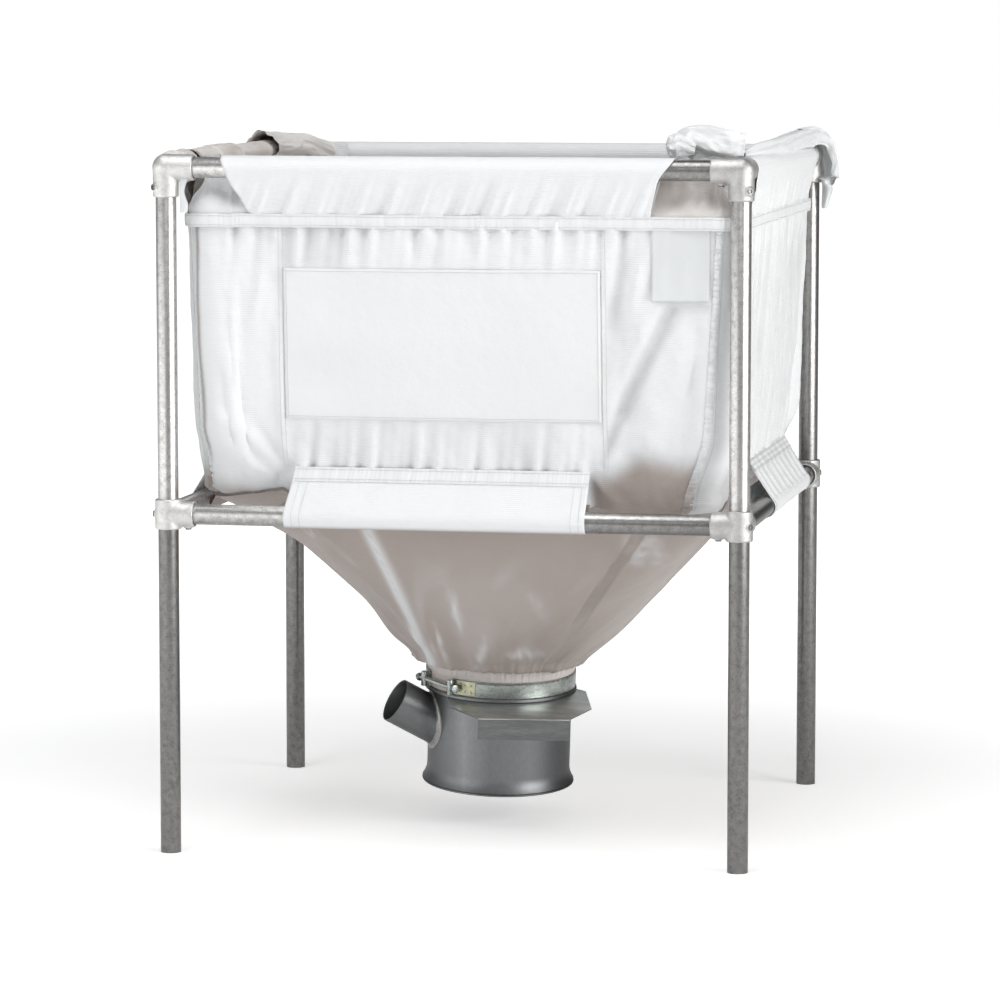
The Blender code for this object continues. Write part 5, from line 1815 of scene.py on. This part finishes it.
def make_web(corner):
    before, after = CORNER_AFTER[corner]
    first = top_column(before, SLEEVE_RUNS[before][1] - 0.035)
    last = top_column(after, SLEEVE_RUNS[after][0] + 0.035)
    total = BAG.shape[1]
    cols = np.linspace(first, last + (total if last < first else 0), WEB_COLUMNS)
    foot = resample(BAG, np.array([0.0]), np.mod(cols, total), True)[0]
    rise = column_of(1, 0, WEB_ROWS)
    share = row_of(0, 1, WEB_COLUMNS)
    inward = unit(np.stack([-np.gradient(foot[:, 1]), np.gradient(foot[:, 0]), 0 * cols], axis=-1))
    seed = 120 + list(CORNER_AFTER).index(corner)
    wave = noise(share * 9, rise * 3.0, seed) + 0.5 * noise(share * 23, rise * 6.0, seed + 9)
    inset = WEB_IN * ease(*WEB_TURNS_IN[corner], rise) + 0.0030 * np.sin(pi * rise) * (wave + 0.8)
    points = foot[None] + inward[None] * inset[..., None]
    points[..., 2] = SEAM_Z + (TOP_Z + WEB_TOP - SEAM_Z) * rise + 0.0040 * rise * noise(share * 6, 0, seed)
    # Painted shade: the web is darker as it rises behind the rail, with a dark band at the front left
    # corner, and at the front right darker towards the front; the right-hand webs use the cloth painted as
    # if in shade.
    shade = WEB_SHADE[corner] * ease(0.05, 0.4, rise) + 0.22 * wave
    if corner == "front_left":
        shade += 0.30 * hill(share - 0.54, 0.05) * ease(0.0, 0.3, rise)
    if corner == "front_right":
        shade = shade + 0.30 * ease(0.45, 0.0, share) * rise - 0.3 * ease(0.5, 0.9, share)
    web = grid_mesh("corner_web_" + corner, points, np.clip(shade, 0, 1.4))
    finish_cloth(
        web, "cloth" if "left" in corner else "warm", (run_of(foot), WEB_TALL), "hung",
        "corner_elbow_" + corner)


for web_corner in CORNER_AFTER:
    make_web(web_corner)

# %% [markdown]
# At the front left corner a narrow loose edge of the cloth hangs beside the elbow. It is a small wavy
# strip, worked out with a few sines.

# %% Loose edge at the front left corner
RIBBON_HALF = 0.0044
RIBBON_TOP, RIBBON_LOW = 0.8975, 0.8415
RIBBON_CLOTH = 0.0005
RIBBON_WIDE = 0.010


def make_corner_ribbon():
    drop = row_of(0, 1, 60)
    over = column_of(1, -1, 6)
    x = -HALF_X + 0.0250 + RIBBON_HALF * over * (1 + 0.25 * np.sin(9 * drop)) + 0.0013 * np.sin(8 * drop + 1)
    y = -HALF_Y - 0.0080 - 0.0012 * np.cos(11 * drop) + 0.0006 * over ** 2
    z = RIBBON_TOP + (RIBBON_LOW - RIBBON_TOP) * drop + 0 * over
    # a painted shadow line along the strip's right edge
    shade = 0.05 + 0.5 * (over > 0.9) + 0 * drop
    ribbon = thicken(grid_mesh("corner_ribbon", np.stack([x, y + 0 * x, z], axis=-1), shade), RIBBON_CLOTH)
    finish_cloth(ribbon, "cloth", (RIBBON_WIDE, RIBBON_TOP - RIBBON_LOW), "hung", "corner_elbow_front_left")


make_corner_ribbon()

# %% [markdown]
# Small parts lie on the walls: tapes, the banner patch, the label and the sewing. A ray from outside
# finds the wall's skin at each of their points, so they follow every fold.

# %% Lay a grid on a wall
def skin_of(grid):
    rows, cols = grid.shape[:2]
    return BVHTree.FromPolygons(grid.reshape(-1, 3).tolist(), grid_quads(rows, cols, cols - 1).tolist())


SKINS = {side: skin_of(PANELS[side]) for side in SIDES}


def laid_on(side, a, z, lift):
    """A grid laid on a side's skin at these places, raised by a small lift."""
    a, z = np.broadcast_arrays(np.asarray(a, float), np.asarray(z, float))
    starts = on_side(side, a, 0.15, z)
    way = Vector(SIDE_OUT[side])
    outs = np.zeros(a.shape)
    for spot in np.ndindex(a.shape):
        hit = SKINS[side].ray_cast(Vector(starts[spot]), -way, 0.30)[0]
        outs[spot] = np.nan if hit is None else hit.dot(way) - SIDE_HALF[side]
    outs = np.where(np.isnan(outs), np.nanmedian(outs), outs)
    return on_side(side, a, outs + lift, z)


# %% Banner patch and label
def plate_on_wall(name, node, plate, finish, cells, lift, thick, edge_waves, stand=0.0):
    left, right, low, high = plate
    a = row_of(left, right, cells[0])
    z = column_of(high, low, cells[1])
    down = (high - z) / (high - low)
    points = laid_on("front", a, z + 0 * a, 0.0)
    smooth = points[..., 1].copy()
    for _ in range(6):
        inner = smooth[1:-1, 1:-1]
        near = (smooth[:-2, 1:-1] + smooth[2:, 1:-1] + smooth[1:-1, :-2] + smooth[1:-1, 2:]) / 4
        smooth[1:-1, 1:-1] = 0.5 * inner + 0.5 * near
    points[..., 1] = np.minimum(smooth, points[..., 1]) - lift - stand * down ** 3
    border = np.minimum(np.minimum(a - left, right - a), np.minimum(high - z, z - low))
    rim_wave = hill(border, 0.008) * noise((a + z) / 0.011, (a - z) / 0.011, 64)
    points[..., 1] -= edge_waves * (1.5 + noise(a / 0.05, z / 0.06, 61) + 0.5 * rim_wave)
    points[..., 2] += 0.0007 * noise(a / 0.05, z / 0.3, 62)
    shade = 0.05 + 0.05 * noise(a / 0.09, z / 0.05, 63)
    finish_cloth(
        thicken(grid_mesh(name, points, shade), thick), finish, (right - left, high - low), "hung",
        "bag_panel_front", [node], finish)
    return points


PATCH_POINTS = plate_on_wall(
    "banner_cloth", "banner_patch", PATCH, "patch", (110, 52), 0.0005, 0.0005, 0.0008)
plate_on_wall("label_sheet", "info_label", LABEL, "label", (30, 36), 0.0006, 0.0003, 0.0007, 0.0045)

# %% [markdown]
# Seam tapes. A tape is a narrow strip that is drawn up by the seam it covers, so it is full of small
# ripples. The tree takes a smooth strip and pushes each point out along its own direction by a wave
# whose pitch and depth are inputs, with a little noise so that no two ripples match.

# %% Gather tree
def gather_tree():
    tree, given = start_tree(
        "gather", {"Pitch": 0.005, "Depth": 0.0008, "Unevenness": 3.0}, takes_mesh=True)
    place = stored(tree, "along", "FLOAT")
    drift = add_node(
        tree, "ShaderNodeTexNoise", {"W": place, "Scale": 70.0, "Detail": 2.0}, noise_dimensions="1D")
    turns = maths(tree, "DIVIDE", place, given["Pitch"])
    uneven = maths(tree, "MULTIPLY_ADD", drift.outputs[0], given["Unevenness"], turns)
    wave = maths(tree, "SINE", maths(tree, "MULTIPLY", uneven, 2 * pi))
    height = maths(tree, "MULTIPLY", wave, given["Depth"])
    moved = add_node(
        tree, "GeometryNodeSetPosition", {"Geometry": given["Geometry"],
        "Offset": scaled(tree, stored(tree, "way"), height)})
    return end_tree(tree, given, moved.outputs["Geometry"])


GATHER_TREE = gather_tree()
GATHER_SPARE = 1.05
TAPE_ROWS = np.arange(7.0)


def gathered_strip(name, points, pitch, deep, rests_on, shade, wrap=False, finish="tape"):
    """A strip of tape from a grid of points, gathered by the tree."""
    flat_strip = grid_mesh(name, points, shade, wrap)
    mesh = flat_strip.data
    run = np.broadcast_to(grid_lengths(points)[0][:1], points.shape[:2])
    store(mesh, "along", "FLOAT", run)
    store(mesh, "way", "FLOAT_VECTOR", grid_normals(points))
    bpy.data.objects.remove(flat_strip)
    strip = grow(name, GATHER_TREE, CLOTHS[finish], mesh, pitch=pitch, depth=deep)
    strip.data.shade_smooth()
    flat = (run_of(points[0]) * GATHER_SPARE, max(run_of(points[:, 0]), 0.01))
    finish_cloth(strip, finish, flat, "gathered", rests_on)


# %% [markdown]
# The sewn seams of the bag show as gathered ridges: one down the left of the hopper, where it turns
# away, and one down each corner of the wall except the front left one. Each is a strip laid over the
# seam, and the tree above ripples it.

# %% Left seam of the hopper
SEAM_HALF = 0.0040
SEAM_STEPS = 300
CORNER_STEPS = 360
TOP_STEPS = 1300


def make_hopper_seam():
    """A gathered tape down the line where the hopper turns furthest to the left of the front."""
    rows = np.arange(13, len(hopper_points) - 3)
    left = np.array([cos(CAMERA_TURN), sin(CAMERA_TURN), 0.0])
    turned = np.argmin(hopper_points[rows] @ left, axis=1)
    cols = np.polyval(np.polyfit(rows, turned, 3), rows)
    strip = []
    for offset in np.linspace(SEAM_HALF, -SEAM_HALF, len(TAPE_ROWS)):
        line = []
        for row, col in zip(rows, cols):
            ring = hopper_points[row]
            spacing = np.linalg.norm(ring[int(col)] - ring[int(col) - 1])
            at = col + offset / spacing
            first, t = int(floor(at)), at - floor(at)
            line.append(ring[first % len(ring)] * (1 - t) + ring[(first + 1) % len(ring)] * t)
        strip.append(line)
    strip = resample(np.array(strip), TAPE_ROWS, np.linspace(0, len(rows) - 1, SEAM_STEPS), False)
    strip += grid_normals(strip) * 0.0012
    share = row_of(0, 1, SEAM_STEPS)
    # painted shade: the seam tape is painted as in shadow, speckled darker and lighter
    gathered_strip(
        "hopper_seam", strip, 0.0066, 0.0011, "hopper_cloth", shade=0.50 + 0.42
        * noise(share * 52, TAPE_ROWS[:, None] / 3, 81), finish="warm")


make_hopper_seam()


# %% Corner seams of the bag
def make_corner_tape(corner):
    """A gathered tape down a corner seam, from the right-hand panel across to the left-hand one."""
    before, after = CORNER_AFTER[corner]
    right, left = PANELS[after][2:, 1], PANELS[before][2:, -3]
    share = np.linspace(0, 1, len(TAPE_ROWS))[:, None, None]
    strip = right[None] * (1 - share) + left[None] * share
    strip = resample(strip, TAPE_ROWS, np.linspace(0, len(right) - 1, CORNER_STEPS), False)
    strip += grid_normals(strip) * (0.0006 + 0.0010 * np.sin(pi * share))
    drop = row_of(0, 1, CORNER_STEPS)
    # painted shade: the tape darkens towards its foot, where the wall turns under
    shade = 0.08 + 0.75 * ease(0.76, 0.97, drop) + 0.16 * noise(drop * 50, TAPE_ROWS[:, None] / 3, 82)
    gathered_strip("corner_tape_" + corner, strip, 0.0078, 0.0008, "bag_panel_" + before, shade=shade)


for taped_corner in ("front_right", "back_right", "back_left"):
    make_corner_tape(taped_corner)

# %% [markdown]
# One tape runs right round the bag along the top seam, and a stitched band closes the top edge of each
# tunnel. The first is a closed ring, so its last column is joined to its first.

# %% Top and lower tapes
def make_top_tape():
    total = BAG.shape[1]
    cols = np.linspace(0, total, TOP_STEPS, endpoint=False)
    seam = resample(BAG, np.array([0.0, 1.2]), cols, True)
    out = unit(np.stack([np.gradient(seam[0][:, 1]), -np.gradient(seam[0][:, 0]), 0 * cols], axis=-1))
    rows = []
    for i, height in enumerate(np.linspace(TAPE_HIGH, TAPE_LOW, len(TAPE_ROWS))):
        foot = seam[0] + (seam[1] - seam[0]) * np.clip(
            (SEAM_Z - height) / (SEAM_Z - seam[1][:, 2]), 0, 1)[:, None]
        bulge = 0.0036 + 0.0007 * sin(pi * i / 6)
        point = foot + out * bulge
        point[:, 2] = height + 0.0006 * noise(cols / 3, 0, 77)
        rows.append(point)
    gathered_strip(
        "tape_top", np.array(rows), 0.0068, 0.0004, "bag_panel_front",
        shade=0.06 + 0.05 * noise(cols[None] / 1.3, 0, 78), wrap=True)
    return np.array(rows)


TOP_TAPE = make_top_tape()


def make_low_tape(side):
    """The stitched band along the top edge of a tunnel."""
    sheet = TUNNELS[side]
    cols = np.linspace(0, sheet.shape[1] - 1, SEAM_STEPS)
    rows = resample(sheet, np.linspace(0.2, 6.6, len(TAPE_ROWS)), cols, False)
    rows += grid_normals(rows) * 0.0011
    shade = 0.08 + 0.06 * noise(cols[None] / 3, 0, 79)
    # on the right, alternate rows get painted shade for the grooves of the stitched lines
    if side == "right":
        shade = shade + 0.45 * np.array([0, 1, 0, 1, 0, 1, 0])[:, None]
    gathered_strip("tape_low_" + side, rows, 0.0060, 0.0003, "tunnel_" + side, shade=shade)
    return rows


LOW_TAPES = {side: make_low_tape(side) for side in SIDES}

# %% [markdown]
# The loose dust cover is pushed back along the right rail, and its end is bunched at the back left. It
# is modelled as soft rolls: a section with lengthwise folds is carried along a path, and it stays open
# underneath where it lies on the rail.

# %% Roll helper
ROLL_ROWS, ROLL_COLUMNS = 96, 80


def smooth_path(points, count):
    """A smooth curve through a few points."""
    points = np.array(points, float)
    at = np.linspace(0, len(points) - 1, count)
    return resample(points[:, None, :], at, np.array([0.0]), False)[:, 0]


def roll_grid(path, sizes, open_part, folds, deep, seed, frill=0.0):
    """A grid round a path: columns go along it and rows go round it, with soft lengthwise folds."""
    way = unit(np.gradient(path, axis=0))
    side = unit(np.cross(way, np.array([0.0, 0.0, 1.0])))
    up = np.cross(side, way)
    turn = column_of(-pi / 2 + open_part, 1.5 * pi - open_part, ROLL_ROWS)
    share = row_of(0, 1, len(path))
    places = np.linspace(0, 1, len(sizes))
    wide, high = (np.interp(share[0], places, measure)[None, :] for measure in zip(*sizes))
    twist = turn + 0.5 * noise(share * 3, 0, seed)
    wave = noise(twist * folds / 2, share * 4, seed + 1) + 0.55 * np.sin(twist * folds + 5 * share)
    wave += 0.45 * noise(twist * folds * 1.3, share * 11, seed + 2)
    swell = 1 + deep * wave + frill * np.sin(turn * 17) * hill(share, 0.16)
    across = (wide * swell * np.cos(turn))[..., None] * side[None]
    rise = (high * swell * np.sin(turn))[..., None] * up[None]
    grid = path[None] + across + rise
    # painted shade in the valleys of the folds
    shade = np.clip(0.03 - 0.2 * wave * deep / 0.14, 0, 0.8)
    outward = grid_normals(grid)
    if np.mean(np.sum(outward * (across + rise), axis=-1)) < 0:
        grid, shade = grid[::-1], shade[::-1]
    return grid, shade


def soft_roll(
    name, path, sizes, rests_on, nodes=(), open_part=0.5, folds=5, deep=0.13, seed=1, frill=0.0, tint=0.0,
    held="folded", finish="cloth"):
    grid, shade = roll_grid(
        smooth_path(path, ROLL_COLUMNS), sizes, open_part, folds, deep, seed, frill=frill)
    # tint raises the painted shade over the whole roll
    piece = grid_mesh(name, grid, np.clip(shade + tint, 0, 1.4))
    finish_cloth(piece, finish, (run_of(grid, 0).mean(), run_of(grid, 1).mean()), held, rests_on, nodes)


# %% Cover pieces
# each roll: the path of its middle, then its half width and half height at even steps along the path
soft_roll(
    "cover_fold", [(0.283, -0.277, 0.9290), (0.306, -0.272, 0.9330), (0.345, -0.266, 0.9320),
    (0.3690, -0.262, 0.9290)], [(0.020, 0.012), (0.029, 0.0225), (0.030, 0.0215), (0.0285, 0.0190),
    (0.022, 0.0150)], nodes=["cover_bundle_front_right"], rests_on="sleeve_front", folds=4, deep=0.13,
    seed=5)
soft_roll(
    "cover_puff", [(0.2730, -0.302, 0.9285), (0.2800, -0.301, 0.9290), (0.2920, -0.299, 0.9290),
    (0.3100, -0.296, 0.9270)], [(0.003, 0.003), (0.0135, 0.0145), (0.0155, 0.0160), (0.0130, 0.0140),
    (0.0060, 0.0080)], rests_on="sleeve_front", open_part=0.25, folds=6, deep=0.13, seed=6, frill=0.10)
soft_roll(
    "cover_roll", [(0.364, -0.262, 0.9170), (0.371, -0.15, 0.9200), (0.375, 0.00, 0.9215),
    (0.377, 0.15, 0.9235), (0.379, 0.268, 0.9250)], [(0.006, 0.005), (0.014, 0.0095), (0.016, 0.011),
    (0.0170, 0.0130), (0.0180, 0.0150)], nodes=["cover_roll_right"], rests_on="sleeve_right", open_part=0.6,
    folds=5, deep=0.12, seed=7)
soft_roll(
    "cover_drape", [(0.377, 0.235, 0.9230), (0.383, 0.285, 0.9270), (0.393, 0.322, 0.9190),
    (0.4015, 0.3390, 0.8930), (0.4030, 0.3420, 0.8600), (0.3980, 0.3400, 0.8250)],
    [(0.0165, 0.0140), (0.0195, 0.0135), (0.0210, 0.0125), (0.0200, 0.0110), (0.0160, 0.0085),
    (0.0050, 0.0035)], nodes=["cover_drape_back_right"], rests_on="corner_elbow_back_right", open_part=0.75,
    folds=5, deep=0.14, seed=8, held="draped")
# the cover's end lies in shadow: it uses the cloth painted as if in shade, with a little more painted shade
soft_roll(
    "cover_end", [(-0.374, 0.150, 0.9120), (-0.372, 0.190, 0.9130), (-0.366, 0.245, 0.9110),
    (-0.350, 0.290, 0.9080), (-0.325, 0.335, 0.9030)], [(0.0225, 0.0215), (0.0205, 0.0170),
    (0.0245, 0.0190), (0.0270, 0.0190), (0.0180, 0.0140)], nodes=["cover_bundle_back_left"],
    rests_on="sleeve_left", open_part=0.25, folds=4, deep=0.13, seed=9, tint=0.06, finish="warm")

# %% [markdown]
# On the left rail, in front of the sleeve, two short loops of cloth with piped edges go round the
# tube, and a wider one goes round the sleeve behind them.

# %% Rail loops
LOOP_GIRTH = 5.66


def rail_loop(name, low, high, swell, seed, tint, round_r=LOOP_R):
    turn = column_of(-2.2, 2 * pi - 2.4, 56)
    share = row_of(0, 1, 32)
    edge = hill(share - 0.06, 0.05) + hill(share - 0.94, 0.05)
    radius = round_r + swell * np.sin(pi * share) ** 0.7 + 0.0011 * edge
    radius = radius + 0.0006 * noise(turn * 2.5, share * 5, seed) * np.sin(pi * share)
    a = low + (high - low) * share + 0.004 * np.sin(turn + seed)
    points = on_side("left", a, radius * np.cos(turn), TOP_Z + radius * np.sin(turn))
    # Painted shade: tint sets how deep the loop lies in shade, and its piped edges are painted lighter, a
    # painted highlight.
    shade = tint + 0.2 * noise(turn * 3, share * 4, seed + 1) - tint * edge * 0.9
    loop = thicken(grid_mesh(name, points, np.clip(shade, 0, 1.4)), 0.0006)
    finish_cloth(loop, "warm", (LOOP_GIRTH * round_r, high - low), "draped", "top_rail_left")


rail_loop("rail_loop_front", 0.300, 0.330, 0.0055, 3, 0.20)
rail_loop("rail_loop_back", 0.240, 0.286, 0.0060, 4, 0.30)
rail_loop("rail_loop_middle", 0.005, 0.135, 0.0020, 5, 0.34, 0.0210)

# %% [markdown]
# Sewing. The stitch lines are loose edges laid just above the cloth. The tree turns them into curves,
# cuts them at the stitch pitch, and sets one small thread at each point along the line's own direction.

# %% Stitch tree
def stitch_tree():
    tree, given = start_tree(
        "stitches", {"Pitch": 0.0034, "Length": 0.0023, "Radius": 0.00034}, takes_mesh=True)
    lines = add_node(tree, "GeometryNodeMeshToCurve", {"Mesh": given["Geometry"]})
    cuts = add_node(
        tree, "GeometryNodeResampleCurve", {"Curve": lines.outputs["Curve"], "Length": given["Pitch"]},
        mode="LENGTH")
    tangent = add_node(tree, "GeometryNodeInputTangent").outputs[0]
    thread = add_node(
        tree, "GeometryNodeMeshCylinder", {"Vertices": 4, "Radius": given["Radius"],
        "Depth": given["Length"]})
    copies = copies_on(tree, cuts.outputs["Curve"], thread.outputs["Mesh"], tangent)
    return end_tree(tree, given, copies)


def lines_mesh(name, lines):
    points, edges = [], []
    for line in lines:
        first = len(points)
        points += [tuple(p) for p in line]
        edges += [(first + i, first + i + 1) for i in range(len(line) - 1)]
    mesh = bpy.data.meshes.new(name)
    mesh.from_pydata(points, edges, [])
    return mesh


def row_line(grid, row):
    """A line along one row of a tape, just above its skin."""
    return (grid + grid_normals(grid) * 0.0006)[row]


def column_line(grid, col, start=0, end=None, lift=0.0003):
    return (grid + grid_normals(grid) * lift)[start:end, col]


# %% Stitch lines
def box_line(points, edge):
    """A closed line inside a plate's border."""
    p = points + np.array([0.0, -0.0003, 0.0])
    e = edge
    return np.concatenate([p[e, e:-e], p[e:-e, -e - 1], p[-e - 1, e:-e][::-1], p[e:-e, e][::-1]])


def wall_line(a0, z0, a1, z1):
    """A straight line on the front wall."""
    return laid_on("front", np.linspace(a0, a1, 90), np.linspace(z0, z1, 90), 0.0004)


STITCHES = [box_line(PATCH_POINTS, 1)]
for tape_row in (1, 5):
    STITCHES.append(row_line(TOP_TAPE, tape_row))
for low_grid in LOW_TAPES.values():
    for tape_row in (1, 5):
        STITCHES.append(row_line(low_grid, tape_row))
for seam_a in (PATCH[0] - 0.0065, PATCH[0] - 0.0012, PATCH[1] + 0.0012, PATCH[1] + 0.0065):
    STITCHES.append(wall_line(seam_a, TAPE_LOW - 0.001, seam_a, 0.512))
for seam_side in SIDES:
    for seam_col in (2, -3):
        STITCHES.append(column_line(PANELS[seam_side], seam_col, 3, -2))
STITCHES.append(column_line(SLEEVES["front"], 1, 1, 46, -0.0004))
for hem_col in (-2, -5):
    STITCHES.append(column_line(SLEEVES["front"], hem_col, 1, 46, -0.0004))
for flap_side in ("front", "right"):
    for hem_col in (4, 8, -4, -8):
        STITCHES.append(column_line(TUNNELS[flap_side], hem_col, 1, 38))
stitches = grow("stitching", stitch_tree(), CLOTHS["thread"], lines_mesh("stitching", STITCHES))
smooth_mesh(stitches.data, 40)
finish_piece(stitches, CLOTHS["thread"])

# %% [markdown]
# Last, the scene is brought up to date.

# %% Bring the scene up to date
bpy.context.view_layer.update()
